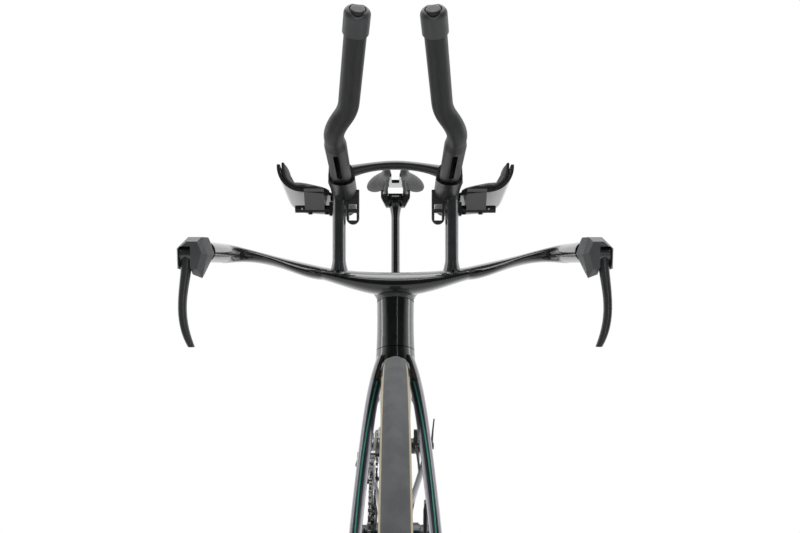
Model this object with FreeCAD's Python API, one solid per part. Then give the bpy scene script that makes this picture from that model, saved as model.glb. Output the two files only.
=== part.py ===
import FreeCAD, Part
import math
import os
from FreeCAD import Vector

os.makedirs("parts", exist_ok=True)

# Stance: X to the bike's left, Y to the rear, Z up, ground at Z = 0, all in millimetres.
WHEELBASE = 985.0
CHAINSTAY_LENGTH = 408.0
BRACKET_DROP = 70.0
HEAD_ANGLE = 72.5
FORK_OFFSET = 45.0
SEAT_ANGLE = 79.0

# Wheels.
BEAD_DIAMETER = 622.0
TYRE_WIDTH = 27.0
TYRE_HEIGHT = 27.0
TYRE_WALL = 2.4
RIM_DEPTH = 55.0
RIM_WIDTH = 25.6
RIM_HOOK = 5.5
RIM_LIP = 2.6
FRONT_SPOKES = 20
REAR_SPOKES = 24
SPOKE_WIDTH = 2.4
SPOKE_THICKNESS = 1.2
FRONT_HUB_WIDTH = 100.0
REAR_HUB_WIDTH = 142.0
AXLE_RADIUS = 6.0
SLEEVE_WALL = 1.6
BEARING_RADIUS = 14.0
FLANGE_RADIUS = 23.0
ROTOR_RADIUS = 70.0
ROTOR_THICKNESS = 1.8
ROTOR_INSET = 15.3
ROTOR_TRACK = 15.0

# Fits.
RUNNING = 0.05
SLIDING = 0.35
SEAM = 0.8

# Steering column, measured along the steering axis from the foot of the axle's perpendicular.
CROWN_HEIGHT = 358.0
HEAD_LENGTH = 62.0
COVER_HEIGHT = 5.0
STEERER_RADIUS = 14.3
HEAD_BEARING_RADIUS = 20.9
HEAD_BEARING_HEIGHT = 7.0
HEAD_HALF_WIDTH = 24.5
HEAD_NOSE = 37.0
TYRE_CLEARANCE = 6.5

# Drive.
PITCH = 12.7
ROLLER_RADIUS = 3.8
TOOTH_SEAT = 4.0
TOOTH_RISE = 3.4
OUTER_TEETH = 54
INNER_TEETH = 40
SPROCKETS = (28, 25, 23, 21, 19, 17, 15, 14, 13, 12, 11)
DRIVEN_INDEX = 5
PULLEY_TEETH = 11
SPROCKET_STEP = 3.8
RING_STEP = 7.0
CHAINLINE = 46.0
CRANK_LENGTH = 170.0
PEDAL_STANCE = 146.0
PEDAL_BORE = 7.1
SPINDLE_RADIUS = 12.0
SHELL_WIDTH = 86.5
SHELL_BORE = 20.5
SHELL_RADIUS = 24.5
BOLT_CIRCLE = 55.0
CAGE_LENGTH = 58.0

# Cockpit, measured from the foot of the base bar's neck.
BAR_RISE = 20.6
BAR_END_RISE = 59.6
BAR_SETTING = 10.7
GRIP_REACH = 162.7
BAR_HALF_SPAN = 207.0
GRIP_RADIUS = 11.5
RISER_SPACING = 146.0
RISER_HALF_WIDTH = 8.6
EXTENSION_SPACING = 134.0
EXTENSION_RADIUS = 11.1
EXTENSION_WALL = 2.0
EXTENSION_RISE = 15.0
CLAMP_RISE = 149.6
CLAMP_LENGTH = 44.0
TIP_SPACING = 72.0
TIP_REACH = 278.7
TIP_RISE = 272.6
KNEE_REACH = 198.7
KNEE_RISE = 206.6
CAP_RADIUS = 12.8
PAD_THICKNESS = 15.0
PAD_OVERHANG = 7.0
CUP_THICKNESS = 4.0
CUP_LENGTH = 86.0

# Seat.
POST_HALF_WIDTH = 8.75
POST_NOSE = 17.0
POST_TAIL = 22.0
RAIL_RADIUS = 3.5
RAIL_SPACING = 44.0
RAIL_HEIGHT = 922.0
SADDLE_WIDTH = 133.0
SADDLE_LENGTH = 240.0
SADDLE_CHANNEL = 15.0
SADDLE_DROOP = 26.0

# Values that follow from the sizes above.
TYRE_RADIUS = BEAD_DIAMETER / 2 + TYRE_HEIGHT
AXLE_Z = TYRE_RADIUS
FRONT_Y = -WHEELBASE / 2
REAR_Y = WHEELBASE / 2
BRACKET_Z = AXLE_Z - BRACKET_DROP
BRACKET_Y = REAR_Y - math.sqrt(CHAINSTAY_LENGTH ** 2 - BRACKET_DROP ** 2)
LEAN = math.radians(90 - HEAD_ANGLE)
FOOT_Y = FRONT_Y + FORK_OFFSET * math.cos(LEAN)
FOOT_Z = AXLE_Z - FORK_OFFSET * math.sin(LEAN)
HEAD_BOTTOM = CROWN_HEIGHT + SEAM
HEAD_TOP = HEAD_BOTTOM + HEAD_LENGTH
COVER_BOTTOM = HEAD_TOP + SEAM
BAR_BASE = COVER_BOTTOM + COVER_HEIGHT
STEERER_TOP = BAR_BASE + 22.0
SLEEVE_RADIUS = AXLE_RADIUS + RUNNING + SLEEVE_WALL
CHAIN_X = -CHAINLINE
INNER_RING_X = CHAIN_X + RING_STEP
SEAT_LEAN = math.radians(90 - SEAT_ANGLE)
SEAT_LINE = Vector(0, math.sin(SEAT_LEAN), math.cos(SEAT_LEAN))
SEAT_FORWARD = Vector(0, -math.cos(SEAT_LEAN), math.sin(SEAT_LEAN))
BRACKET = Vector(0, BRACKET_Y, BRACKET_Z)
FRONT_AXLE = Vector(0, FRONT_Y, AXLE_Z)
REAR_AXLE = Vector(0, REAR_Y, AXLE_Z)
ACROSS = Vector(1, 0, 0)
UP = Vector(0, 0, 1)
FORWARD = Vector(0, -1, 0)
STEERING = FreeCAD.Placement(
    Vector(0, FOOT_Y, FOOT_Z), FreeCAD.Rotation(ACROSS, -math.degrees(LEAN)))
NECK = STEERING.multVec(Vector(0, 0, BAR_BASE))
BAR_CENTRE_HEIGHT = NECK.z + BAR_RISE
BAR_END_HEIGHT = NECK.z + BAR_END_RISE
CLAMP_HEIGHT = NECK.z + CLAMP_RISE
BAR_Y = NECK.y - BAR_SETTING
GRIP_END_Y = NECK.y - GRIP_REACH
nodes = {}


def steer(shape):
    """Carry a shape from the steering column's own frame to the bike's frame."""
    moved = shape.copy()
    moved.Placement = STEERING.multiply(moved.Placement)
    return moved


def steer_point(x, back, along):
    """Point of the bike's frame for a place on the steering column."""
    return STEERING.multVec(Vector(x, back, along))


def mirror(shape):
    """Copy of a shape on the other side of the bike's middle plane."""
    return shape.mirror(Vector(0, 0, 0), ACROSS)


def pair(shape):
    """A shape and its copy on the other side, as separate solids."""
    return Part.makeCompound([shape, mirror(shape)])


def egg(centre, forward, across, nose, tail, half_width):
    """Outline of two half ovals that share their widest line."""
    steps = 6
    edges = []
    for reach, sense in ((nose, 1.0), (tail, -1.0)):
        points = []
        for index in range(steps + 1):
            angle = math.pi * index / steps
            long = forward * (reach * sense * math.sin(angle))
            wide = across * (half_width * sense * math.cos(angle))
            points.append(centre + long + wide)
        curve = Part.BSplineCurve()
        spread = [index / steps for index in range(steps + 1)]
        pull = forward * (sense * reach * math.pi)
        curve.interpolate(Points=points, Parameters=spread, InitialTangent=pull, FinalTangent=pull * -1,
                          Scale=False)
        edges.append(curve.toShape())
    return Part.Wire(edges)


def loft(wires, ruled=False):
    """Solid skinned over a run of outlines."""
    return Part.makeLoft(wires, True, ruled)


def polygon(points):
    """Closed wire of straight sides."""
    return Part.makePolygon(points + [points[0]])


def route(points, bend):
    """Path of straight runs joined by tangent arcs of one bend radius."""
    edges = []
    start = points[0]
    for before, corner, after in zip(points, points[1:], points[2:]):
        into = (corner - before).normalize()
        out = (after - corner).normalize()
        turn = into.getAngle(out)
        setback = bend * math.tan(turn / 2)
        first = corner - into * setback
        last = corner + out * setback
        inward = (out - into).normalize()
        middle = corner + inward * (bend / math.cos(turn / 2) - bend)
        edges.append(Part.makeLine(start, first))
        edges.append(Part.Arc(first, middle, last).toShape())
        start = last
    edges.append(Part.makeLine(start, points[-1]))
    return Part.Wire(edges)


def pipe(path, radius):
    """Round bar of one radius along a path."""
    first = path.OrderedEdges[0]
    at = first.FirstParameter
    ring = Part.makeCircle(radius, first.valueAt(at), first.tangentAt(at))
    return path.makePipeShell([Part.Wire(ring)], True, False)


def rod(start, end, radius):
    """Round bar between two points."""
    along = end - start
    return Part.makeCylinder(radius, along.Length, start, along)


def lateral(centre, radius, low, high):
    """Cylinder across the bike between two X values."""
    return Part.makeCylinder(radius, high - low, Vector(low, centre.y, centre.z), ACROSS)


def ring(centre, outer, inner, low, high):
    """Plain ring across the bike between two X values."""
    return lateral(centre, outer, low, high).cut(lateral(centre, inner, low - 1, high + 1))


def lathe(profile, centre):
    """Body turned about the X axis from a closed run of (x, radius) corners."""
    face = Part.Face(polygon([Vector(x, 0, r) for x, r in profile]))
    body = face.revolve(Vector(0, 0, 0), ACROSS, 360)
    body.translate(centre)
    return body


def block(x, y, z):
    """Box between pairs of limits."""
    return Part.makeBox(x[1] - x[0], y[1] - y[0], z[1] - z[0], Vector(x[0], y[0], z[0]))


def joined(first, *rest):
    """One solid from touching or overlapping shapes."""
    return first.fuse(list(rest)).removeSplitter()


def carved(body, tools):
    """Body with each tool cut away in turn."""
    for tool in tools:
        body = body.cut(tool)
    return body


# Wheels.
def tyre(centre):
    """Open tyre carcass with beads inside the rim hooks."""
    middle = TYRE_RADIUS - TYRE_WIDTH / 2
    bead = BEAD_DIAMETER / 2
    half = TYRE_WIDTH / 2
    neck = RIM_WIDTH / 2 - RIM_LIP - 2 * RUNNING
    hook = bead + RIM_HOOK + 4 * RUNNING
    inner = half - TYRE_WALL
    low = neck - TYRE_WALL
    rise = math.sqrt(inner ** 2 - low ** 2)
    shoulder = Vector(half, 0, middle)
    corners = [Vector(neck, 0, bead), Vector(neck, 0, hook)]
    outer = Part.Arc(shoulder, Vector(0, 0, TYRE_RADIUS), Vector(-half, 0, middle)).toShape()
    bulge = Vector((neck + half) / 2 + half * 0.09, 0, (hook + middle) / 2)
    edges = [
        Part.makeLine(corners[0], corners[1]),
        Part.Arc(corners[1], bulge, shoulder).toShape(),
        outer,
        Part.Arc(Vector(-half, 0, middle), Vector(-bulge.x, 0, bulge.z), Vector(-neck, 0, hook)).toShape(),
        Part.makeLine(Vector(-neck, 0, hook), Vector(-neck, 0, bead)),
        Part.makeLine(Vector(-neck, 0, bead), Vector(-low, 0, bead)),
        Part.makeLine(Vector(-low, 0, bead), Vector(-low, 0, middle - rise)),
        Part.Arc(Vector(-low, 0, middle - rise), Vector(0, 0, middle + inner),
                 Vector(low, 0, middle - rise)).toShape(),
        Part.makeLine(Vector(low, 0, middle - rise), Vector(low, 0, bead)),
        Part.makeLine(Vector(low, 0, bead), corners[0])]
    body = Part.Face(Part.Wire(edges)).revolve(Vector(0, 0, 0), ACROSS, 360)
    body.translate(centre)
    return body


def rim(centre):
    """Deep rim with hooks round the tyre's beads and a rounded inner edge."""
    top = BEAD_DIAMETER / 2 + RIM_HOOK
    base = BEAD_DIAMETER / 2 - 2 * RUNNING
    half = RIM_WIDTH / 2
    lip = half - RIM_LIP
    floor = top - RIM_DEPTH
    edges = [
        Part.makeLine(Vector(lip, 0, base), Vector(lip, 0, top)),
        Part.makeLine(Vector(lip, 0, top), Vector(half, 0, top)),
        Part.Arc(Vector(half, 0, top), Vector(half * 0.97, 0, top - RIM_DEPTH * 0.45),
                 Vector(half * 0.58, 0, floor + RIM_DEPTH * 0.1)).toShape(),
        Part.Arc(Vector(half * 0.58, 0, floor + RIM_DEPTH * 0.1), Vector(0, 0, floor),
                 Vector(-half * 0.58, 0, floor + RIM_DEPTH * 0.1)).toShape(),
        Part.Arc(Vector(-half * 0.58, 0, floor + RIM_DEPTH * 0.1),
                 Vector(-half * 0.97, 0, top - RIM_DEPTH * 0.45), Vector(-half, 0, top)).toShape(),
        Part.makeLine(Vector(-half, 0, top), Vector(-lip, 0, top)),
        Part.makeLine(Vector(-lip, 0, top), Vector(-lip, 0, base)),
        Part.Arc(Vector(-lip, 0, base), Vector(0, 0, base - RIM_LIP), Vector(lip, 0, base)).toShape()]
    body = Part.Face(Part.Wire(edges)).revolve(Vector(0, 0, 0), ACROSS, 360)
    body.translate(centre)
    return body


def spokes(centre, count, left, right):
    """Flat spokes from both hub flanges to the rim's inner edge, crossing in pairs."""
    floor = BEAD_DIAMETER / 2 + RIM_HOOK - RIM_DEPTH
    step = 2 * math.pi / count
    made = []
    for index in range(count):
        flange = left if index % 2 else right
        lead = (1 if (index // 2) % 2 else -1) * step * 1.5
        outer = index * step
        root = outer + lead
        start = Vector(flange, FLANGE_RADIUS * math.cos(root), FLANGE_RADIUS * math.sin(root))
        end = Vector(flange * 0.06, floor * math.cos(outer), floor * math.sin(outer))
        along = (end - start).normalize()
        first = start + along * 1.0
        last = end - along * 0.6
        flat = ACROSS.cross(along).normalize()
        thin = along.cross(flat)
        outlines = []
        for place in (first, last):
            outlines.append(egg(place, flat, thin, SPOKE_WIDTH / 2, SPOKE_WIDTH / 2, SPOKE_THICKNESS / 2))
        body = loft(outlines, True)
        body.translate(centre)
        made.append(body)
    return Part.makeCompound(made)


def hub(centre, left, right, rotor_x, right_end):
    """Hub shell with two flanges, a rotor seat and two bearings inside."""
    waist = BEARING_RADIUS + 3.0
    lip = 2.5
    bore = BEARING_RADIUS
    left_end = rotor_x + 3.0
    shell = lathe([
        (right_end, bore), (right_end, waist), (right - lip, waist), (right - lip, FLANGE_RADIUS),
        (right + lip, FLANGE_RADIUS), (right + lip + 4, waist), (left - lip - 4, waist),
        (left - lip, FLANGE_RADIUS), (left + lip, FLANGE_RADIUS), (left + lip, waist + 1.5),
        (rotor_x - ROTOR_THICKNESS, waist + 1.5), (rotor_x - ROTOR_THICKNESS, waist),
        (left_end, waist), (left_end, bore)], centre)
    races = []
    for low in (right_end + 1.0, left_end - 8.0):
        races.append(ring(centre, bore, SLEEVE_RADIUS + RUNNING, low, low + 7.0))
    return Part.makeCompound([shell] + races)


def rotor(centre, plane):
    """Brake disc with a slotted track, swept arms and a splined middle."""
    low = plane - ROTOR_THICKNESS / 2
    high = plane + ROTOR_THICKNESS / 2
    inner = ROTOR_RADIUS - ROTOR_TRACK
    track = ring(centre, ROTOR_RADIUS, inner, low, high)
    slot = block((low - 1, high + 1), (-1.6, 1.6), (inner + 3.5, ROTOR_RADIUS - 3.5))
    slots = []
    for index in range(24):
        turned = slot.copy()
        turned.rotate(Vector(0, 0, (inner + ROTOR_RADIUS) / 2), ACROSS, 28)
        turned.rotate(Vector(0, 0, 0), ACROSS, 15 * index)
        turned.translate(centre)
        slots.append(turned)
    track = track.cut(Part.makeCompound(slots))
    seat = BEARING_RADIUS + 3.0 + RUNNING
    middle = ring(centre, seat + 7.0, seat, low, high)
    arms = []
    arm = block((low, high), (-2.6, 2.6), (seat + 5.0, inner + 4.0))
    for index in range(6):
        turned = arm.copy()
        turned.rotate(Vector(0, 0, seat + 5.0), ACROSS, 24)
        turned.rotate(Vector(0, 0, 0), ACROSS, 60 * index)
        turned.translate(centre)
        arms.append(turned)
    return joined(track, middle, *arms)


FRONT_ROTOR_X = FRONT_HUB_WIDTH / 2 - ROTOR_INSET
REAR_ROTOR_X = REAR_HUB_WIDTH / 2 - ROTOR_INSET
FREEHUB_RIGHT = -REAR_HUB_WIDTH / 2 + 4.0
FREEHUB_LEFT = CHAIN_X + DRIVEN_INDEX * SPROCKET_STEP + 4.5
FREEHUB_RADIUS = 16.6
SMALL_FACE = CHAIN_X - (len(SPROCKETS) - 1 - DRIVEN_INDEX) * SPROCKET_STEP - 0.8
LEFT_FLANGE = 21.0
nodes["front_tyre"] = tyre(FRONT_AXLE)
nodes["rear_tyre"] = tyre(REAR_AXLE)
nodes["front_rim"] = rim(FRONT_AXLE)
nodes["rear_rim"] = rim(REAR_AXLE)
nodes["front_spokes"] = spokes(FRONT_AXLE, FRONT_SPOKES, LEFT_FLANGE, -FRONT_HUB_WIDTH * 0.33)
nodes["rear_spokes"] = spokes(REAR_AXLE, REAR_SPOKES, REAR_HUB_WIDTH * 0.24, FREEHUB_LEFT + 5.0)
nodes["front_hub"] = hub(
    FRONT_AXLE, LEFT_FLANGE, -FRONT_HUB_WIDTH * 0.33, FRONT_ROTOR_X, -FRONT_HUB_WIDTH / 2 + 6.0)
nodes["rear_hub"] = hub(
    REAR_AXLE, REAR_HUB_WIDTH * 0.24, FREEHUB_LEFT + 5.0, REAR_ROTOR_X, FREEHUB_LEFT + 1.0)
nodes["front_rotor"] = rotor(FRONT_AXLE, FRONT_ROTOR_X)
nodes["rear_rotor"] = rotor(REAR_AXLE, REAR_ROTOR_X)


# Chain drive in the plane of the outer chainring.
def pitch_radius(teeth):
    """Pitch circle radius of a sprocket for the chain."""
    return PITCH / (2 * math.sin(math.pi / teeth))


def leg_angle(first, second):
    """Heading of the straight run from one wheel of the drive to the next."""
    (y1, z1, teeth1, sense1), (y2, z2, teeth2, sense2) = first, second
    gap = math.hypot(y2 - y1, z2 - z1)
    aim = math.atan2(z2 - z1, y2 - y1)
    return aim + math.asin((sense1 * pitch_radius(teeth1) - sense2 * pitch_radius(teeth2)) / gap)


def chain_spans(wheels):
    """Spans of the chain's loop: each wheel's arc, then the straight run after it."""
    count = len(wheels)
    headings = []
    for index in range(count):
        headings.append(leg_angle(wheels[index], wheels[(index + 1) % count]))
    spans = []
    for index, (y, z, teeth, sense) in enumerate(wheels):
        radius = pitch_radius(teeth)
        come = headings[index - 1]
        go = headings[index]
        sweep = (sense * (go - come)) % (2 * math.pi)
        start = come - sense * math.pi / 2
        spans.append(("arc", sweep * teeth / (2 * math.pi), y, z, radius, start, sense, teeth))
        ny, nz, nteeth, nsense = wheels[(index + 1) % count]
        leave = (y + sense * radius * math.sin(go), z - sense * radius * math.cos(go))
        reach = pitch_radius(nteeth) * nsense
        arrive = (ny + reach * math.sin(go), nz - reach * math.cos(go))
        run = math.hypot(arrive[0] - leave[0], arrive[1] - leave[1]) / PITCH
        spans.append(("line", run, leave[0], leave[1], go))
    return spans


GUIDE = Vector(0, REAR_Y + 14.0, AXLE_Z - 84.0)


def drive_wheels(swing):
    """Centres, teeth and sense of the wheels that the chain runs round."""
    tension_y = GUIDE.y + CAGE_LENGTH * math.cos(swing)
    tension_z = GUIDE.z + CAGE_LENGTH * math.sin(swing)
    return [
        (BRACKET_Y, BRACKET_Z, OUTER_TEETH, 1), (tension_y, tension_z, PULLEY_TEETH, 1),
        (GUIDE.y, GUIDE.z, PULLEY_TEETH, -1), (REAR_Y, AXLE_Z, SPROCKETS[DRIVEN_INDEX], 1)]


def loop_pitches(swing):
    """Length of the chain's loop in pitches."""
    return sum(span[1] for span in chain_spans(drive_wheels(swing)))


def solve_swing():
    """Cage angle that makes the loop a whole even number of pitches."""
    low = math.radians(-135)
    high = math.radians(-75)
    target = 2 * round(loop_pitches(math.radians(-105)) / 2)
    for _ in range(60):
        middle = (low + high) / 2
        if (loop_pitches(middle) - target) * (loop_pitches(high) - target) > 0:
            high = middle
        else:
            low = middle
    return (low + high) / 2, target


SWING, LINKS = solve_swing()
TENSION = GUIDE + Vector(0, math.cos(SWING), math.sin(SWING)) * CAGE_LENGTH
SPANS = chain_spans(drive_wheels(SWING))


def roller(place):
    """Point of the loop that lies a number of pitches along it."""
    for span in SPANS:
        if place <= span[1]:
            break
        place -= span[1]
    if span[0] == "line":
        return Vector(CHAIN_X, span[2] + place * PITCH * math.cos(span[4]),
                      span[3] + place * PITCH * math.sin(span[4]))
    angle = span[5] + span[6] * place * 2 * math.pi / span[7]
    return Vector(CHAIN_X, span[2] + span[4] * math.cos(angle), span[3] + span[4] * math.sin(angle))


def valley(number):
    """Angle of a tooth gap that holds a roller on one wheel of the drive."""
    passed = sum(span[1] for span in SPANS[:2 * number])
    span = SPANS[2 * number]
    lag = math.ceil(passed) - passed
    return span[5] + span[6] * lag * 2 * math.pi / span[7]


def toothed(centre, plane, teeth, first, thickness):
    """Sprocket disc with round roller seats and straight flanks."""
    radius = pitch_radius(teeth)
    tip = radius + TOOTH_RISE
    land = 0.9 / tip
    step = 2 * math.pi / teeth
    lean = math.radians(70)
    edges = []
    last = None
    low = plane - thickness / 2
    for index in range(teeth):
        angle = first + index * step
        seat = Vector(low, radius * math.cos(angle), radius * math.sin(angle))
        points = []
        for turn in (lean, 0, -lean):
            heading = angle + math.pi + turn
            points.append(seat + Vector(0, math.cos(heading), math.sin(heading)) * TOOTH_SEAT)
        rise = angle + step / 2 - land
        fall = angle + step / 2 + land
        crest = Vector(low, tip * math.cos(rise), tip * math.sin(rise))
        back = Vector(low, tip * math.cos(fall), tip * math.sin(fall))
        if last:
            edges.append(Part.makeLine(last, points[0]))
        else:
            home = points[0]
        edges.append(Part.Arc(points[0], points[1], points[2]).toShape())
        edges.append(Part.makeLine(points[2], crest))
        edges.append(Part.makeLine(crest, back))
        last = back
    edges.append(Part.makeLine(last, home))
    body = Part.Face(Part.Wire(edges)).extrude(Vector(thickness, 0, 0))
    body.translate(Vector(0, centre.y, centre.z))
    return body


def link_plate(low, high, radius):
    """Waisted side plate of a chain link between two X values."""
    waist = radius * 0.78
    edges = [
        Part.Arc(Vector(low, 0, radius), Vector(low, PITCH / 2, waist),
                 Vector(low, PITCH, radius)).toShape(),
        Part.Arc(Vector(low, PITCH, radius), Vector(low, PITCH + radius, 0),
                 Vector(low, PITCH, -radius)).toShape(),
        Part.Arc(Vector(low, PITCH, -radius), Vector(low, PITCH / 2, -waist),
                 Vector(low, 0, -radius)).toShape(),
        Part.Arc(Vector(low, 0, -radius), Vector(low, -radius, 0), Vector(low, 0, radius)).toShape()]
    return Part.Face(Part.Wire(edges)).extrude(Vector(high - low, 0, 0))


def chain():
    """Closed chain of inner links with rollers and outer links with pins."""
    here = Vector(0, 0, 0)
    there = Vector(0, PITCH, 0)
    inner = joined(
        link_plate(1.1, 1.95, 4.1), link_plate(-1.95, -1.1, 4.1),
        lateral(here, ROLLER_RADIUS, -1.1, 1.1), lateral(there, ROLLER_RADIUS, -1.1, 1.1))
    inner = inner.cut(lateral(here, 1.88, -3, 3)).cut(lateral(there, 1.88, -3, 3))
    outer = joined(
        link_plate(2.0, 2.75, 3.9), link_plate(-2.75, -2.0, 3.9),
        lateral(here, 1.8, -2.9, 2.9), lateral(there, 1.8, -2.9, 2.9))
    made = []
    for index in range(LINKS):
        start = roller(index)
        end = roller((index + 1) % LINKS)
        run = end - start
        link = (outer if index % 2 else inner).copy()
        slack = (run.Length - PITCH) / 2
        turn = math.degrees(math.atan2(run.z, run.y))
        link.rotate(Vector(0, 0, 0), ACROSS, turn)
        link.translate(start + run.normalize() * slack)
        made.append(link)
    return Part.makeCompound(made)


def cassette():
    """Row of sprockets, their lock ring and the freehub body that carries them."""
    made = []
    driven = valley(3)
    for index, teeth in enumerate(SPROCKETS):
        plane = CHAIN_X + (DRIVEN_INDEX - index) * SPROCKET_STEP
        disc = toothed(REAR_AXLE, plane, teeth, driven, 1.6)
        made.append(disc.cut(lateral(REAR_AXLE, FREEHUB_RADIUS + RUNNING, plane - 3, plane + 3)))
        if index:
            spacer = ring(REAR_AXLE, FREEHUB_RADIUS + 2.4, FREEHUB_RADIUS + RUNNING, plane + 0.8,
                          plane + SPROCKET_STEP - 0.8)
            made.append(spacer)
    made.append(ring(REAR_AXLE, FREEHUB_RADIUS + 1.8, SLEEVE_RADIUS + 4.0, SMALL_FACE - 1.2, SMALL_FACE))
    made.append(ring(REAR_AXLE, FREEHUB_RADIUS, SLEEVE_RADIUS + RUNNING, SMALL_FACE, FREEHUB_LEFT))
    return Part.makeCompound(made)


nodes["chain"] = chain()
nodes["cassette"] = cassette()


def pulley(centre, number):
    """Jockey wheel with its bushing bore."""
    disc = toothed(centre, CHAIN_X, PULLEY_TEETH, valley(number), 2.0)
    boss = lateral(centre, 9.0, CHAIN_X - 2.6, CHAIN_X + 2.6)
    holes = []
    for index in range(5):
        angle = index * 2 * math.pi / 5
        spot = centre + Vector(0, math.cos(angle), math.sin(angle)) * 13.5
        holes.append(lateral(spot, 2.6, CHAIN_X - 4, CHAIN_X + 4))
    body = joined(disc, boss).cut(Part.makeCompound(holes))
    return body.cut(lateral(centre, 3.0 + RUNNING, CHAIN_X - 4, CHAIN_X + 4))


nodes["guide_pulley"] = pulley(GUIDE, 2)
nodes["tension_pulley"] = pulley(TENSION, 1)


def chainring(plane, teeth, first, thickness, rail):
    """Chainring with four tabs that reach in to the bolt circle."""
    disc = toothed(BRACKET, plane, teeth, first, thickness)
    opening = lateral(BRACKET, pitch_radius(teeth) - rail, plane - 4, plane + 4)
    for index in range(4):
        angle = math.radians(45 + 90 * index)
        tab = block((plane - 5, plane + 5), (-10, 10), (BOLT_CIRCLE - 9, 200))
        tab.rotate(Vector(0, 0, 0), ACROSS, math.degrees(angle))
        tab.translate(Vector(0, BRACKET_Y, BRACKET_Z))
        opening = opening.cut(tab)
    disc = disc.cut(opening)
    for spot in bolt_spots():
        disc = disc.cut(lateral(spot, 5.0 + RUNNING, plane - 4, plane + 4))
    return disc


def bolt_spots():
    """Centres of the four chainring bolts."""
    spots = []
    for index in range(4):
        angle = math.radians(135 + 90 * index)
        spots.append(BRACKET + Vector(0, math.cos(angle), math.sin(angle)) * BOLT_CIRCLE)
    return spots


def chainrings():
    """Both chainrings and the bolts that hold them to the spider."""
    made = [chainring(CHAIN_X, OUTER_TEETH, valley(0), 2.0, 17.0),
            chainring(INNER_RING_X, INNER_TEETH, valley(0), 2.0, 12.0)]
    for spot in bolt_spots():
        bolt = lateral(spot, 5.0, CHAIN_X - 1.0, INNER_RING_X + 1.0)
        head = lateral(spot, 6.6, CHAIN_X - 2.2, CHAIN_X - 1.0)
        made.append(joined(bolt, head).cut(lateral(spot, 2.5, CHAIN_X - 3, CHAIN_X + 2)))
    return Part.makeCompound(made)


nodes["chainrings"] = chainrings()


def crank_arm(side, reach):
    """Crank arm from the spindle boss to the pedal boss, with the pedal's bore."""
    end = BRACKET + Vector(0, reach * CRANK_LENGTH, 0)
    face = PEDAL_STANCE / 2
    along = Vector(0, reach, 0)
    outlines = []
    for share, half_height, middle, half_thick in (
            (0.06, 19.0, face - 13.5, 8.0), (0.3, 15.5, face - 9.5, 7.5),
            (0.7, 13.0, face - 7.5, 6.8), (0.97, 12.0, face - 6.5, 6.2)):
        spot = BRACKET + along * (share * CRANK_LENGTH) + Vector(side * middle, 0, 0)
        outlines.append(egg(spot, ACROSS * side, UP, half_thick, half_thick, half_height))
    low, high = sorted((side * (face - 12.5), side * face))
    boss_low, boss_high = sorted((side * (SHELL_WIDTH / 2 + 3.6), side * (face - 5.0)))
    arm = joined(
        loft(outlines), lateral(BRACKET, 20.5, boss_low, boss_high), lateral(end, 13.0, low, high))
    return arm.cut(lateral(end, PEDAL_BORE, low - 5, high + 5))


SPINDLE_END = SHELL_WIDTH / 2 + 20.0


def crank_right():
    """Right arm with its spider and the spindle bonded into it."""
    arm = crank_arm(-1, -1)
    spindle = lateral(BRACKET, SPINDLE_RADIUS, -SPINDLE_END, SPINDLE_END)
    spider = []
    outer_face = CHAIN_X + 1.0
    inner_face = INNER_RING_X - 1.0
    root = -SHELL_WIDTH / 2 - 4.6
    for spot in bolt_spots():
        away = (spot - BRACKET).normalize()
        side = ACROSS.cross(away)
        begin = BRACKET + away * 14.0 + Vector(root - 4.0, 0, 0)
        knee = BRACKET + away * 32.0 + Vector(root - 2.0, 0, 0)
        top = BRACKET + away * 46.0 + Vector((outer_face + inner_face) / 2, 0, 0)
        finger = loft([
            egg(begin, ACROSS, side, 3.8, 3.8, 12.0), egg(knee, ACROSS, side, 3.2, 3.2, 10.0),
            egg(top, ACROSS, side, 2.3, 2.3, 8.0)], True)
        pad = lateral(spot, 8.5, outer_face, inner_face)
        bridge = block((outer_face, inner_face), (-7, 7), (43, BOLT_CIRCLE))
        bridge.rotate(Vector(0, 0, 0), ACROSS, math.degrees(math.atan2(away.z, away.y)) - 90)
        bridge.translate(BRACKET)
        spider += [finger, pad, bridge]
    body = joined(arm, spindle, *spider)
    for spot in bolt_spots():
        body = body.cut(lateral(spot, 5.0 + RUNNING, outer_face - 2, inner_face + 2))
    return body


nodes["crank_arm_right"] = crank_right()
nodes["crank_arm_left"] = crank_arm(1, 1).cut(
    lateral(BRACKET, SPINDLE_RADIUS + RUNNING / 2, 0, SPINDLE_END))


def bracket_cup(side):
    """Pressed cup with its flange and the bearing bore round the spindle."""
    low, high = sorted((side * (SHELL_WIDTH / 2 - 12.0), side * SHELL_WIDTH / 2))
    lip_low, lip_high = sorted((side * SHELL_WIDTH / 2, side * (SHELL_WIDTH / 2 + 2.6)))
    cup = joined(lateral(BRACKET, SHELL_BORE - RUNNING, low, high),
                 lateral(BRACKET, SHELL_BORE + 1.5, lip_low, lip_high))
    return cup.cut(lateral(BRACKET, SPINDLE_RADIUS + RUNNING, -100, 100))


nodes["bottom_bracket_cups"] = Part.makeCompound([bracket_cup(1), bracket_cup(-1)])


# Thru axles: a plain shaft inside the hub's fixed sleeve.
def thru_axle(centre, half, left_face, right_face):
    """Axle shaft with a head, and the sleeve that spaces the frame ends apart."""
    shaft = lateral(centre, AXLE_RADIUS, right_face, left_face + 0.6)
    head = lateral(centre, AXLE_RADIUS + 3.5, left_face + 0.6, left_face + 4.0)
    sleeve = ring(centre, SLEEVE_RADIUS, AXLE_RADIUS + RUNNING, -half, half)
    cap = ring(centre, SLEEVE_RADIUS + 3.0, SLEEVE_RADIUS, half - 2.5, half)
    other = ring(centre, SLEEVE_RADIUS + 2.0, SLEEVE_RADIUS, -half, -half + 1.6)
    return Part.makeCompound([joined(shaft, head), joined(sleeve, cap, other)])


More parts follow.
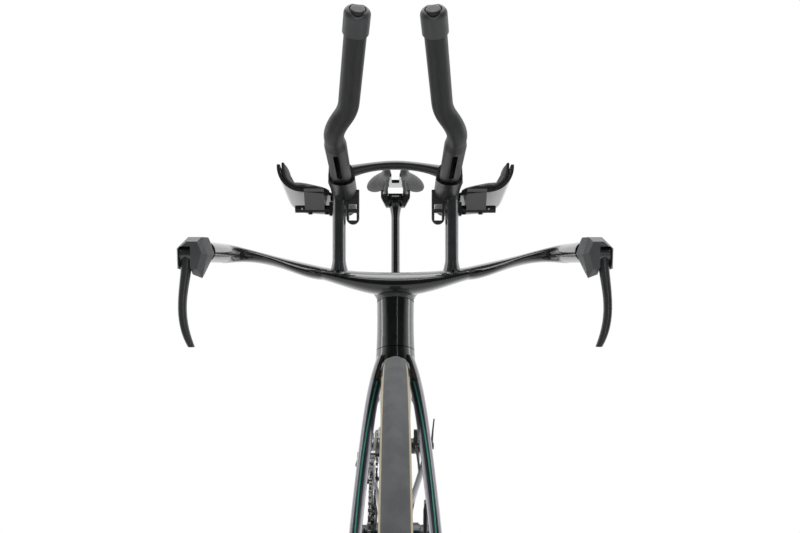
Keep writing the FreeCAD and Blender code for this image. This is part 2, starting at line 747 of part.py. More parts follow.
FORK_END = 9.0
DROPOUT = 8.0
nodes["front_thru_axle"] = thru_axle(
    FRONT_AXLE, FRONT_HUB_WIDTH / 2, FRONT_HUB_WIDTH / 2 + FORK_END, -FRONT_HUB_WIDTH / 2 - FORK_END)
nodes["rear_thru_axle"] = thru_axle(
    REAR_AXLE, REAR_HUB_WIDTH / 2, REAR_HUB_WIDTH / 2 + DROPOUT, -REAR_HUB_WIDTH / 2 - DROPOUT)


def axle_lever():
    """Lever on the rear axle's head that stands up beside the frame end."""
    face = REAR_HUB_WIDTH / 2 + DROPOUT + 4.0
    hub_part = lateral(REAR_AXLE, 8.0, face + 0.4, face + 10.0)
    outlines = []
    for rise, half_wide, half_thick, out in ((2.0, 6.5, 3.4, 5.0), (28.0, 5.4, 2.4, 7.0),
                                             (66.0, 4.2, 1.8, 11.0)):
        spot = REAR_AXLE + Vector(face + out, 0, rise)
        outlines.append(egg(spot, ACROSS, FORWARD, half_thick, half_thick, half_wide))
    return joined(hub_part, loft(outlines))


nodes["rear_axle_lever"] = axle_lever()


# Frame.
def wheel_room(centre, half_width, radius, edge):
    """Round-shouldered disc that the wheel needs clear."""
    disc = lateral(centre, radius, -half_width, half_width)
    rims = [side for side in disc.Edges if isinstance(side.Curve, Part.Circle)]
    return disc.makeFillet(edge, rims)


def post_outline(distance, spare, forward_shift=0.0):
    """Seatpost outline at a distance up the seat line from the bracket."""
    spot = BRACKET + SEAT_LINE * distance + SEAT_FORWARD * forward_shift
    return egg(spot, SEAT_FORWARD, ACROSS, POST_NOSE + spare, POST_TAIL + spare, POST_HALF_WIDTH + spare)


SEAT_TOP = 452.0
WEDGE_REACH = 7.0


def chainstay(side):
    """Chainstay from the bracket shell, past the tyre and out to the frame end."""
    face = REAR_HUB_WIDTH / 2 + DROPOUT / 2
    outlines = []
    for share, x, half_width, half_height in (
            (0.03, 19.0, 15.0, 24.0), (0.22, 27.5, 8.0, 16.0), (0.8, 67.0, 6.5, 11.0),
            (0.97, face, 4.0, 11.0)):
        spot = BRACKET + (REAR_AXLE - BRACKET) * share + Vector(side * x, 0, 2.0 * (1 - share))
        outlines.append(egg(spot, UP, ACROSS, half_height, half_height, half_width))
    return loft(outlines)


def seatstay(side):
    """Dropped seat stay from the seat tube to the frame end."""
    face = REAR_HUB_WIDTH / 2 + DROPOUT / 2
    top = BRACKET + SEAT_LINE * 345.0
    low = REAR_AXLE + Vector(0, -8.0, 10.0)
    outlines = []
    for share, x, half_width, deep in (
            (0.0, 6.0, 6.0, 17.0), (0.28, 23.5, 5.6, 13.0), (0.72, 62.0, 5.0, 9.0), (1.0, face, 4.0, 8.0)):
        spot = top + (low - top) * share + Vector(side * x, 0, 0)
        along = (low - top).normalize()
        outlines.append(egg(spot, along.cross(ACROSS), ACROSS, deep, deep, half_width))
    return loft(outlines)


def column_egg(along, nose, tail, half_width):
    """Outline across the steering column in the column's own frame."""
    return egg(Vector(0, 0, along), FORWARD, ACROSS, nose, tail, half_width)


HOSE_RADIUS = 2.5
STAY_DIRECTION = REAR_AXLE - BRACKET
REAR_HOSE = [
    REAR_AXLE + Vector(REAR_ROTOR_X - 8.0, -88.0, 22.0),
    REAR_AXLE + Vector(REAR_ROTOR_X - 8.5, -112.0, 24.0),
    BRACKET + STAY_DIRECTION * 0.62 + Vector(54.0, 0, 9.0),
    BRACKET + STAY_DIRECTION * 0.5 + Vector(47.0, 0, 0.0)]


DOWN_START = steer_point(0, 34.0, HEAD_BOTTOM + 20.0)
DOWN_END = BRACKET + Vector(0, -3.0, 9.0)
TOP_START = steer_point(0, 20.0, HEAD_TOP - 24.0)
TOP_END = BRACKET + SEAT_LINE * (SEAT_TOP - 34.0)
BOND_SETBACK = 66.0
BOND_REACH = 92.0
DOWN_ROOM = 45.0
TOP_ROOM = 40.0


def tube_zone(start, end, room):
    """Square column round a main tube, from one bond line to the other."""
    run = end - start
    along = Vector(run).normalize()
    above = along.cross(ACROSS)
    base = start + along * BOND_REACH
    corners = [base + ACROSS * (room * i) + above * (room * j)
               for i, j in ((1, 1), (-1, 1), (-1, -1), (1, -1))]
    return Part.Face(polygon(corners)).extrude(run - along * (2 * BOND_REACH))


def stay_zone():
    """Everything behind the bond line of the stays, which runs parallel to the seat line."""
    front = BRACKET - SEAT_FORWARD * BOND_SETBACK - SEAT_LINE * 200.0
    back = front - SEAT_FORWARD * WHEELBASE
    wide = ACROSS * REAR_HUB_WIDTH
    base = Part.Face(polygon([front + wide, front - wide, back - wide, back + wide]))
    return base.extrude(SEAT_LINE * WHEELBASE)


def bonded(body):
    """Mouldings that are bonded into the frame: head, seat mast, two main tubes and the stays."""
    zones = [tube_zone(DOWN_START, DOWN_END, DOWN_ROOM), tube_zone(TOP_START, TOP_END, TOP_ROOM),
             stay_zone()]
    made = []
    for zone in zones:
        made += body.common(zone).Solids
    return Part.makeCompound(made + carved(body, zones).Solids)


def frame():
    """Moulded frame: head tube, three main tubes, stays, bracket shell and frame ends."""
    head = steer(loft([
        column_egg(HEAD_BOTTOM, HEAD_NOSE, 44.0, HEAD_HALF_WIDTH),
        column_egg((HEAD_BOTTOM + HEAD_TOP) / 2, HEAD_NOSE - 1.5, 50.0, HEAD_HALF_WIDTH - 0.8),
        column_egg(HEAD_TOP, HEAD_NOSE - 1.0, 52.0, HEAD_HALF_WIDTH - 0.3)]))
    run = DOWN_END - DOWN_START
    below = Vector(run).normalize().cross(ACROSS)
    if below.z > 0:
        below = below * -1
    outlines = []
    for share, nose, tail, half in ((0.0, 26.0, 28.0, 21.0), (0.3, 29.0, 29.0, 23.0),
                                    (0.7, 31.0, 29.0, 26.0),
                                    (0.94, 30.0, 30.0, 31.0), (1.0, 24.0, 24.0, 31.0)):
        outlines.append(egg(DOWN_START + run * share, below, ACROSS, nose, tail, half))
    down = loft(outlines)
    outlines = []
    for share, upper, lower, half in ((0.0, 15.0, 24.0, 21.0), (0.15, 22.0, 24.0, 19.0),
                                      (0.6, 21.0, 20.0, 17.0), (1.0, 20.0, 24.0, 14.5)):
        spot = TOP_START + (TOP_END - TOP_START) * share
        outlines.append(egg(spot, UP, ACROSS, upper, lower, half))
    top = loft(outlines)
    outlines = []
    for distance, nose, tail, half in ((-4.0, 26.0, 26.0, 30.0), (70.0, 27.0, 40.0, 22.0),
                                       (190.0, 26.0, 46.0, 15.5), (330.0, 27.0, 40.0, 14.5),
                                       (SEAT_TOP, 27.0, 30.0, 14.0)):
        spot = BRACKET + SEAT_LINE * distance
        outlines.append(egg(spot, SEAT_FORWARD, ACROSS, nose, tail, half))
    seat = loft(outlines)
    half_shell = SHELL_WIDTH / 2
    shell = lateral(BRACKET, SHELL_RADIUS, -half_shell, half_shell)
    inner = REAR_HUB_WIDTH / 2
    ends = []
    for side in (1, -1):
        low, high = sorted((side * inner, side * (inner + DROPOUT)))
        ends += [chainstay(side), seatstay(side), lateral(REAR_AXLE, 15.0, low, high)]
    body = joined(head, top, down, seat, shell, *ends)
    room = wheel_room(REAR_AXLE, TYRE_WIDTH / 2 + 4.5, TYRE_RADIUS + TYRE_CLEARANCE, 8.0)
    crown = steer(Part.makeCylinder(30.0, 80.0, Vector(0, 0, HEAD_BOTTOM - 80.0), UP))
    neck = steer(Part.makeCylinder(38.0, 60.0, Vector(0, 0, HEAD_TOP), UP))
    low = Vector(0, 0, HEAD_BOTTOM - 20.0)
    bore = steer(Part.makeCylinder(STEERER_RADIUS + 2.0, HEAD_LENGTH + 40.0, low, UP))
    seats = []
    for low in (HEAD_BOTTOM - 1.0, HEAD_TOP - HEAD_BEARING_HEIGHT - 0.4):
        deep = HEAD_BEARING_HEIGHT + 1.4
        seats.append(steer(Part.makeCylinder(HEAD_BEARING_RADIUS + RUNNING, deep, Vector(0, 0, low), UP)))
    socket = loft([post_outline(SEAT_TOP - 250.0, SLIDING), post_outline(SEAT_TOP + 20.0, SLIDING)], True)
    wedge = wedge_block(0.15)
    cuts = [room, crown, neck, bore, socket, wedge, lateral(BRACKET, SHELL_BORE, -100, 100),
            lateral(REAR_AXLE, AXLE_RADIUS + RUNNING, -120, 120),
            pipe(route(REAR_HOSE, 20.0), HOSE_RADIUS + 0.3)]
    cuts += seats + [rod(spot - axis * 14.0, spot + axis * 6.0, 2.5) for spot, axis in BOSSES]
    return bonded(carved(body, cuts))


def wedge_block(spare):
    """Wedge in front of the seatpost near the frame's top, with room round it if asked."""
    low = SEAT_TOP - 34.0 - spare
    high = SEAT_TOP + (5.0 if spare else 0.0)
    start = BRACKET + SEAT_LINE * low + SEAT_FORWARD * (POST_NOSE - 6.0)
    half = 5.0 + spare
    face = polygon([start + ACROSS * half, start - ACROSS * half,
                    start - ACROSS * half + SEAT_FORWARD * (6.0 + WEDGE_REACH + spare),
                    start + ACROSS * half + SEAT_FORWARD * (6.0 + WEDGE_REACH + spare)])
    body = Part.Face(face).extrude(SEAT_LINE * (high - low))
    return body.cut(loft([post_outline(low - 5.0, SLIDING), post_outline(high + 5.0, SLIDING)], True))


def top_boss(distance):
    """Place and heading of a threaded hole on top of the top tube."""
    return Vector(0, TOP_START.y + distance, TOP_START.z + 21.0), UP


def down_boss(share):
    """Place and heading of a bottle bolt's hole on the down tube."""
    along = (DOWN_END - DOWN_START).normalize()
    above = along.cross(ACROSS)
    if above.z < 0:
        above = above * -1
    return DOWN_START + along * share + above * 27.0, above


BOSS_STEP = 64.0
BOSSES = [top_boss(80.0), top_boss(80.0 + BOSS_STEP), down_boss(250.0), down_boss(250.0 + BOSS_STEP)]
nodes["frame"] = frame()
wedge_bolt = wedge_block(0.0)
bolt_top = BRACKET + SEAT_LINE * SEAT_TOP + SEAT_FORWARD * (POST_NOSE + WEDGE_REACH / 2)
nodes["seatpost_wedge"] = wedge_bolt.cut(rod(bolt_top - SEAT_LINE * 9.0, bolt_top + SEAT_LINE, 2.0))
nodes["rear_brake_hose"] = pipe(route(REAR_HOSE, 20.0), HOSE_RADIUS)


def head_bearing(low):
    """Headset bearing round the steerer."""
    outer = Part.makeCylinder(HEAD_BEARING_RADIUS, HEAD_BEARING_HEIGHT, Vector(0, 0, low), UP)
    return steer(outer.cut(Part.makeCylinder(STEERER_RADIUS + RUNNING, 40, Vector(0, 0, low - 10), UP)))


nodes["headset_bearings"] = Part.makeCompound(
    [head_bearing(HEAD_BOTTOM + 0.3), head_bearing(HEAD_TOP - HEAD_BEARING_HEIGHT - 0.3)])


# Fork, in the steering column's own frame.
def fork_leg(side):
    """Blade from the crown to the axle, thin across and deep fore and aft."""
    outlines = []
    for along, x, back, nose, tail, half in (
            (CROWN_HEIGHT - 10.0, 15.0, -4.0, 28.0, 22.0, 9.0),
            (CROWN_HEIGHT - 36.0, 23.5, -6.0, 27.0, 24.0, 8.2),
            (CROWN_HEIGHT - 68.0, 30.0, -9.0, 24.0, 24.0, 7.8),
            (CROWN_HEIGHT - 160.0, 41.0, -20.0, 20.0, 22.0, 7.6),
            (CROWN_HEIGHT * 0.32, 48.5, -32.0, 17.0, 20.0, 7.2),
            (2.0, FRONT_HUB_WIDTH / 2 + FORK_END / 2, -FORK_OFFSET, 12.0, 12.0, FORK_END / 2)):
        outlines.append(egg(Vector(side * x, back, along), FORWARD, ACROSS, nose, tail, half))
    return loft(outlines)


HOSE_PORT = 172.0
FRONT_HOSE = [steer_point(44.0, -6.0, HOSE_PORT + 10.0), steer_point(36.0, 2.0, HOSE_PORT - 4.0),
              steer_point(35.5, 6.0, HOSE_PORT - 40.0), steer_point(FRONT_ROTOR_X - 7.0, 10.0, 92.0)]


def fork():
    """Fork with crown, two blades, axle ends and steerer."""
    axle = Vector(0, -FORK_OFFSET, 0)
    crown = loft([
        column_egg(CROWN_HEIGHT, HEAD_NOSE, 24.0, HEAD_HALF_WIDTH),
        column_egg(CROWN_HEIGHT - 12.0, HEAD_NOSE + 0.5, 25.0, HEAD_HALF_WIDTH + 0.8),
        column_egg(CROWN_HEIGHT - 30.0, HEAD_NOSE - 2.0, 26.0, HEAD_HALF_WIDTH + 4.0)])
    ends = []
    for side in (1, -1):
        low, high = sorted((side * FRONT_HUB_WIDTH / 2, side * (FRONT_HUB_WIDTH / 2 + FORK_END)))
        ends += [fork_leg(side), lateral(axle, 12.5, low, high)]
    foot = Vector(0, 0, CROWN_HEIGHT - 10.0)
    steerer = Part.makeCylinder(STEERER_RADIUS, STEERER_TOP - CROWN_HEIGHT + 10.0, foot, UP)
    body = joined(crown, steerer, *ends)
    room = wheel_room(axle, TYRE_WIDTH / 2 + 4.5, TYRE_RADIUS + TYRE_CLEARANCE, 14.0)
    half = FRONT_HUB_WIDTH / 2
    cuts = [room, lateral(axle, AXLE_RADIUS + RUNNING, -100, 100), lateral(axle, 17.0, -half, half)]
    body = steer(carved(body, cuts))
    return body.cut(pipe(route(FRONT_HOSE, 16.0), HOSE_RADIUS + 0.3))


nodes["fork"] = fork()
nodes["front_brake_hose"] = pipe(route(FRONT_HOSE, 16.0), HOSE_RADIUS)


# Flat-mount brakes, in a frame with the rotor's plane at X = 0 and its radius along Z.
PAD_GAP = 0.4
PAD_THICK = 4.0
CALIPER_INNER = 12.5
CALIPER_OUTER = 15.0
PISTON_RADIUS = 11.0


def caliper():
    """Two-piston caliper body that straddles the rotor, with its mounting bolts' ears."""
    slot = ROTOR_THICKNESS / 2 + PAD_GAP + PAD_THICK + 0.1
    body = block((-CALIPER_INNER, CALIPER_OUTER), (-26.0, 26.0), (ROTOR_RADIUS - 20.0, ROTOR_RADIUS + 15.0))
    edges = [edge for edge in body.Edges if abs(edge.tangentAt(edge.FirstParameter).x) > 0.9]
    body = body.makeFillet(7.0, edges)
    middle = Vector(0, 0, ROTOR_RADIUS - 9.0)
    pistons = [lateral(middle, PISTON_RADIUS, CALIPER_OUTER - 1.0, CALIPER_OUTER + 3.0),
               lateral(middle, PISTON_RADIUS, -CALIPER_INNER - 0.9, -CALIPER_INNER + 1.0)]
    body = joined(body, *pistons)
    gap = block((-slot, slot), (-16.0, 16.0), (0, ROTOR_RADIUS + 20.0))
    sweep = block((-1.9, 1.9), (-40.0, 40.0), (0, ROTOR_RADIUS + 2.5))
    screws = [Part.makeCylinder(2.6, 60, Vector(-9.5, y, ROTOR_RADIUS - 30.0), UP) for y in (-21.0, 21.0)]
    return carved(body, [gap, sweep] + screws)


def brake_pad(side):
    """Pad with its backing, just clear of the rotor."""
    near = ROTOR_THICKNESS / 2 + PAD_GAP
    low, high = sorted((side * near, side * (near + PAD_THICK)))
    pad = block((low, high), (-15.0, 15.0), (ROTOR_RADIUS - 17.0, ROTOR_RADIUS + 3.0))
    fin = block((low, high), (-8.0, 8.0), (ROTOR_RADIUS + 3.0, ROTOR_RADIUS + 17.0))
    return joined(pad, fin)


def at_rotor(shape, centre, plane, heading):
    """Carry a brake shape to a wheel, its radius turned to a heading in the side view."""
    moved = shape.copy()
    moved.rotate(Vector(0, 0, 0), ACROSS, heading - 90)
    moved.translate(centre + Vector(plane, 0, 0))
    return moved


REAR_BRAKE_HEADING = 157.0
FRONT_BRAKE_HEADING = 48.0
nodes["rear_brake_caliper"] = carved(
    at_rotor(caliper(), REAR_AXLE, REAR_ROTOR_X, REAR_BRAKE_HEADING),
    [chainstay(1), seatstay(1), pipe(route(REAR_HOSE, 20.0), HOSE_RADIUS + RUNNING)])
nodes["front_brake_caliper"] = carved(
    at_rotor(caliper(), FRONT_AXLE, FRONT_ROTOR_X, FRONT_BRAKE_HEADING),
    [steer(fork_leg(1)), pipe(route(FRONT_HOSE, 16.0), HOSE_RADIUS + RUNNING)])
for place, side in (("outer", 1), ("inner", -1)):
    nodes["rear_pad_" + place] = at_rotor(brake_pad(side), REAR_AXLE, REAR_ROTOR_X, REAR_BRAKE_HEADING)
    nodes["front_pad_" + place] = at_rotor(brake_pad(side), FRONT_AXLE, FRONT_ROTOR_X, FRONT_BRAKE_HEADING)


# Base bar: a wing that rises from the middle and turns forward into round grips.
BAR_NOSE = 31.0
BAR_HALF_DEPTH = 15.5
WING_HALF_DEPTH = 7.0


def bar_outline(side, x, y, z, reach, half, heading):
    """Outline of the bar at a place along it, turned to the bar's heading there."""
    turn = math.radians(heading)
    forward = Vector(-side * math.sin(turn), -math.cos(turn), 0)
    return egg(Vector(side * x, y, z), forward, UP, reach, reach, half)


def bar_places():
    """Places along one half of the bar: offset, set-back, height, chord, depth and heading."""
    rise = BAR_END_HEIGHT - BAR_CENTRE_HEIGHT
    low = BAR_CENTRE_HEIGHT
    span = BAR_HALF_SPAN
    return [
        (0.0, BAR_Y, low, BAR_NOSE, BAR_HALF_DEPTH, 0),
        (span * 0.22, BAR_Y, low + rise * 0.1, BAR_NOSE - 1.0, BAR_HALF_DEPTH - 2.5, 0),
        (span * 0.45, BAR_Y - 1.0, low + rise * 0.36, 27.0, WING_HALF_DEPTH + 1.4, 0),
        (span * 0.72, BAR_Y - 6.0, low + rise * 0.72, 23.0, WING_HALF_DEPTH, 8),
        (span * 0.86, BAR_Y - 15.0, low + rise * 0.9, 18.0, WING_HALF_DEPTH + 0.3, 35),
        (span * 0.96, BAR_Y - 38.0, low + rise * 0.98, GRIP_RADIUS + 2.0, GRIP_RADIUS - 1.5, 68),
        (span, BAR_Y - 73.0, BAR_END_HEIGHT, GRIP_RADIUS, GRIP_RADIUS, 90)]


def wing_middle():
    """Deep middle of the base bar between the outer wings."""
    places = bar_places()
    outlines = [bar_outline(-1, *places[2]), bar_outline(-1, *places[1])]
    outlines += [bar_outline(1, *place) for place in places[:3]]
    return loft(outlines)


def wing_side(side):
    """Outer wing of the base bar with its round grip."""
    places = bar_places()
    wing = loft([bar_outline(side, *place) for place in places[2:]])
    start = Vector(side * BAR_HALF_SPAN, places[-1][1], BAR_END_HEIGHT)
    grip = Part.Face(bar_outline(side, *places[-1])).extrude(Vector(0, GRIP_END_Y - start.y, 0))
    return joined(wing, grip)


CAP_PLUG = 12.0


def base_bar():
    """Base bar with its neck and steerer bore, and the plug that closes the bore."""
    neck = steer(loft([
        column_egg(BAR_BASE, HEAD_NOSE - 1.0, 26.0, HEAD_HALF_WIDTH - 0.3),
        column_egg(BAR_BASE + 6.0, HEAD_NOSE - 2.0, 25.0, HEAD_HALF_WIDTH + 3.0),
        column_egg(BAR_BASE + 15.0, HEAD_NOSE - 6.0, 22.0, HEAD_HALF_WIDTH + 11.0)]))
    body = joined(wing_middle(), neck, wing_side(1), wing_side(-1))
    low = Vector(0, 0, HEAD_TOP)
    bore = steer(Part.makeCylinder(STEERER_RADIUS + RUNNING, STEERER_TOP + 1.0 - HEAD_TOP, low, UP))
    start = Vector(0, 0, STEERER_TOP + 0.5)
    plug = steer(Part.makeCylinder(CAP_PLUG, 40.0, start + Vector(0, 0, 0.6), UP)).common(body)
    hole = steer(Part.makeCylinder(CAP_PLUG + RUNNING, 40.0, start, UP))
    under = steer(Part.makeCylinder(60.0, 30.0, Vector(0, 0, BAR_BASE - 30.0), UP))
    return carved(body, [bore, hole, under]), plug


nodes["base_bar"], cap_plug = base_bar()
cover = steer(Part.Face(column_egg(COVER_BOTTOM, HEAD_NOSE - 1.0, 26.0, HEAD_HALF_WIDTH - 0.3)).extrude(
    Vector(0, 0, COVER_HEIGHT)))
cover = cover.cut(steer(Part.makeCylinder(STEERER_RADIUS + RUNNING, 40, Vector(0, 0, HEAD_TOP - 5), UP)))
key = steer(Part.makeCylinder(3.0, 60.0, Vector(0, 0, STEERER_TOP + 5.0), UP))
nodes["headset_caps"] = Part.makeCompound([cover, cap_plug.cut(key)])

# Extension clamps on riser posts.
EXTENSION_X = EXTENSION_SPACING / 2
RISER_X = RISER_SPACING / 2
RISE = math.radians(EXTENSION_RISE)
REACH = Vector(0, -math.cos(RISE), math.sin(RISE))
CLAMP_Y = BAR_Y - 20.5
RISER_Y = BAR_Y - 0.5
CLAMP = Vector(EXTENSION_X, CLAMP_Y, CLAMP_HEIGHT)
SLEEVE_OUTER = 16.6
LOWER_RADIUS = EXTENSION_RADIUS + 1.5
EAR_RISE = 24.0
RISER_TOP = CLAMP_HEIGHT - 20.0
ARM_TUBE_RADIUS = 5.0
ARM_TUBE = Vector(0, BAR_Y + 32.0, CLAMP_HEIGHT - 29.0)
ARM_TUBE_START = EXTENSION_X + LOWER_RADIUS + 0.8
ARM_TUBE_END = 134.0


def riser():
    """Streamlined post with a flared foot on the base bar."""
    foot = BAR_CENTRE_HEIGHT + 8.0
    outlines = []
    for rise, spread in ((0.0, 4.0), (8.0, 3.2), (16.0, 1.2), (24.0, 0.0)):
        spot = Vector(RISER_X, RISER_Y, foot + rise)
        outlines.append(egg(spot, FORWARD, ACROSS, 14.0 + spread, 17.0 + spread, RISER_HALF_WIDTH + spread))
    post = Part.Face(outlines[-1]).extrude(UP * (RISER_TOP - foot - 24.0))
    clear = Part.makeCylinder(SLEEVE_OUTER + RUNNING, 300.0, CLAMP - REACH * 150.0, REACH)
    return carved(joined(loft(outlines), post), [wing_middle(), clear])


riser_post = riser()
nodes["riser_posts"] = pair(riser_post)


def extension_clamp():
    """Clamp sleeve with its saddle on the riser, its tilt bracket and the arm tube's boss."""
    back = CLAMP - REACH * (CLAMP_LENGTH / 2)
    sleeve = Part.makeCylinder(SLEEVE_OUTER, CLAMP_LENGTH + 14.0, back, REACH)
    mitre = block((0, 200), (-80, 0), (0, 80))
    mitre.rotate(Vector(0, 0, 0), ACROSS, 28)
    mitre.translate(CLAMP + REACH * (CLAMP_LENGTH / 2 - 4.0) + Vector(-100, 0, -2.0))
    sleeve = sleeve.cut(mitre)
    saddle = loft([
        egg(Vector(RISER_X, RISER_Y, RISER_TOP), FORWARD, ACROSS, 14.0, 17.0, RISER_HALF_WIDTH),
        egg(Vector(RISER_X - 2.0, RISER_Y - 2.0, RISER_TOP + 14.0), FORWARD, ACROSS, 16.0, 17.0,
            RISER_HALF_WIDTH + 2.0)])
    inner = RISER_X - RISER_HALF_WIDTH - 0.6
    width = 16.5
    middle = inner - width / 2
    plate_y = (RISER_Y + 2.0, RISER_Y + 12.0)
    low = CLAMP_HEIGHT - 43.0
    plate = block((inner - width, inner), plate_y, (low, CLAMP_HEIGHT - 6.0))
    foot = Part.makeCylinder(width / 2, plate_y[1] - plate_y[0], Vector(middle, plate_y[0], low),
                             Vector(0, 1, 0))
    tie = block((inner - 2.0, RISER_X), (RISER_Y + 8.0, RISER_Y + 17.0),
                (RISER_TOP + 2.0, CLAMP_HEIGHT - 8.0))
    boss = block((RISER_X - 7.0, RISER_X + 8.0), (RISER_Y + 6.0, ARM_TUBE.y + 9.0),
                 (RISER_TOP + 0.6, RISER_TOP + 11.0))
    heel = block((RISER_X - 7.0, RISER_X + 8.0), (RISER_Y + 18.0, ARM_TUBE.y + 9.0),
                 (ARM_TUBE.z - 9.0, RISER_TOP + 2.0))
    drop = block((RISER_X - 7.0, ARM_TUBE_START + 7.6), (ARM_TUBE.y - 9.0, ARM_TUBE.y + 9.0),
                 (ARM_TUBE.z - 9.0, RISER_TOP))
    root = Vector(EXTENSION_X + LOWER_RADIUS + SLIDING, CLAMP_Y, CLAMP_HEIGHT)
    outline = [Vector(0, 16.0, -6.0), Vector(0, -20.0, -2.0), Vector(0, -10.0, EAR_RISE)]
    ear = Part.Face(polygon([root + corner for corner in outline])).extrude(
        ACROSS * (SLEEVE_OUTER - LOWER_RADIUS - SLIDING))
    body = joined(sleeve, saddle, plate, foot, tie, boss, heel, drop, ear)
    across = (middle - 5.0, middle + 5.0)
    through = (plate_y[0] - 5.0, plate_y[1] + 5.0)
    windows = [block(across, through, (low - 3.0, low + 7.0)),
               block(across, through, (low + 12.0, low + 18.0))]
    bore = Part.makeCylinder(LOWER_RADIUS + RUNNING, 300.0, CLAMP - REACH * 150.0, REACH)
    slit = block((EXTENSION_X - 0.8, EXTENSION_X + 0.8), (CLAMP_Y - 60, CLAMP_Y + 60),
                 (CLAMP_HEIGHT, CLAMP_HEIGHT + 60))
    socket = lateral(ARM_TUBE, ARM_TUBE_RADIUS + RUNNING / 2, ARM_TUBE_START, ARM_TUBE_END)
    bolts = []
    for reach in (-12.0, 8.0):
        spot = CLAMP + REACH * reach + Vector(0, 0, 13.6)
        bolts.append(lateral(spot, 2.0, EXTENSION_X - 30, EXTENSION_X + 30))
    return carved(body, windows + [bore, slit, socket] + bolts)


def arm_tube():
    """Cross tube that carries an arm cup, with its row of adjusting holes."""
    tube = lateral(ARM_TUBE, ARM_TUBE_RADIUS, ARM_TUBE_START, ARM_TUBE_END)
    holes = []
    for index in range(3):
        spot = Vector(ARM_TUBE_END - 9.0 - 9.0 * index, ARM_TUBE.y - 10.0, ARM_TUBE.z)
        holes.append(Part.makeCylinder(1.4, 20.0, spot, Vector(0, 1, 0)))
    return carved(tube, holes)


clamp_body = extension_clamp()
nodes["extension_clamps"] = Part.makeCompound(
    [clamp_body, mirror(clamp_body), arm_tube(), mirror(arm_tube())])


def bridge():
    """Arched brace between the two clamp sleeves, flared where it meets them."""
    outlines = []
    reach = EXTENSION_X - 5.0
    for share in (-1.0, -0.72, -0.4, 0.0, 0.4, 0.72, 1.0):
        flare = max(0.0, abs(share) - 0.6) * 9.0
        spot = Vector(share * reach, CLAMP_Y - 4.0, CLAMP_HEIGHT + 22.0 - 10.0 * share ** 2)
        outlines.append(egg(spot, FORWARD, UP, 10.0 + flare, 10.0 + flare, 5.6 + flare))
    body = loft(outlines)
    cuts = []
    for side in (1, -1):
        start = CLAMP - REACH * 60.0
        cuts.append(Part.makeCylinder(SLEEVE_OUTER, 120.0, Vector(side * start.x, start.y, start.z), REACH))
    return carved(body, cuts)


nodes["bridge"] = bridge()

# Extensions: a straight lower run in the clamp, then a rising run that leans inward.
LOWER_BACK = 92.0
LOWER_FRONT = 150.0
BEND = 46.0
TIP = NECK + Vector(TIP_SPACING / 2, -TIP_REACH, TIP_RISE)
KNEE = NECK + Vector(TIP_SPACING / 2 + 13.0, -KNEE_REACH, KNEE_RISE)
CAP_LENGTH = 24.0
TIP_AIM = Vector(TIP - KNEE).normalize()


def extension_core(wall):
    """Extension as a solid bar, its outside drawn in by a wall."""
    back = CLAMP - REACH * LOWER_BACK
    bend = CLAMP + REACH * LOWER_FRONT
    taper = CLAMP + REACH * (LOWER_FRONT - 34.0)
    extra = REACH * (2.0 if wall else 0.0)
    start = taper + REACH * 12.0
    lower = rod(back - extra, taper, LOWER_RADIUS - wall)
    cone = Part.makeCone(LOWER_RADIUS - wall, EXTENSION_RADIUS - wall, 12.0, taper, REACH)
    upper = pipe(route([start, bend, KNEE, TIP], BEND), EXTENSION_RADIUS - wall)
    return joined(lower, cone, upper)


def extension():
    """Hollow extension with a cable slot along the underside of its lower run."""
    body = extension_core(0.0).cut(extension_core(EXTENSION_WALL))
    begin = CLAMP + REACH * (CLAMP_LENGTH / 2 + 26.0)
    end = CLAMP + REACH * (LOWER_FRONT - 42.0)
    down = Vector(0, -math.sin(RISE), -math.cos(RISE))
    face = polygon([begin + ACROSS * 3.0, begin - ACROSS * 3.0, end - ACROSS * 3.0, end + ACROSS * 3.0])
    slot = joined(Part.Face(face).extrude(down * 20.0), Part.makeCylinder(3.0, 20.0, begin, down),
                  Part.makeCylinder(3.0, 20.0, end, down))
    return body.cut(slot)


extension_left = extension()
nodes["extension_left"] = extension_left
nodes["extension_right"] = mirror(extension_left)
BUTTON_RADIUS = 8.0
BUTTON_TRAVEL = 1.5


def shifter():
    """Housing over the extension's tip, its domed end split by a shallow groove."""
    base = TIP - TIP_AIM * 13.0
    body = Part.makeCylinder(CAP_RADIUS, CAP_LENGTH, base, TIP_AIM)
    ends = [edge for edge in body.Edges if isinstance(edge.Curve, Part.Circle)]
    ends.sort(key=lambda edge: edge.CenterOfMass.z)
    body = body.makeFillet(5.0, ends[-1:])
    body = body.cut(Part.makeCylinder(EXTENSION_RADIUS + RUNNING / 2, 13.0, base, TIP_AIM))
    top = base + TIP_AIM * CAP_LENGTH
    fore = ACROSS.cross(TIP_AIM)
    groove = Part.makeCylinder(9.0, 60.0, top + TIP_AIM * 6.2 - fore * 30.0, fore)
    well = Part.makeCylinder(BUTTON_RADIUS + 0.3, 12.0, top - TIP_AIM * 8.0, TIP_AIM)
    return carved(body, [groove, well])


def shift_button():
    """Round push button in the housing's end, with its soft edge."""
    top = TIP + TIP_AIM * (CAP_LENGTH - 13.0)
    foot = top - TIP_AIM * (8.0 - BUTTON_TRAVEL - 0.4)
    body = Part.makeCylinder(BUTTON_RADIUS, 6.6, foot, TIP_AIM)
    ends = [edge for edge in body.Edges if isinstance(edge.Curve, Part.Circle)]
    ends.sort(key=lambda edge: edge.CenterOfMass.z)
    return body.makeFillet(2.6, ends[-1:])


nodes["shifter_left"] = shifter()
nodes["shifter_right"] = mirror(nodes["shifter_left"])
nodes["shift_button_left"] = shift_button()
nodes["shift_button_right"] = mirror(nodes["shift_button_left"])

# Arm rests: a shell that curls up on its outer side, with a foam pad in it.
CUP_FRONT = BAR_Y + 10.0
CUP_INNER = 82.0
CUP_FLAT = 121.0
CUP_OUTER = 151.5
CUP_RISE = 35.0
CUP_FLOOR = CLAMP_HEIGHT - 7.0


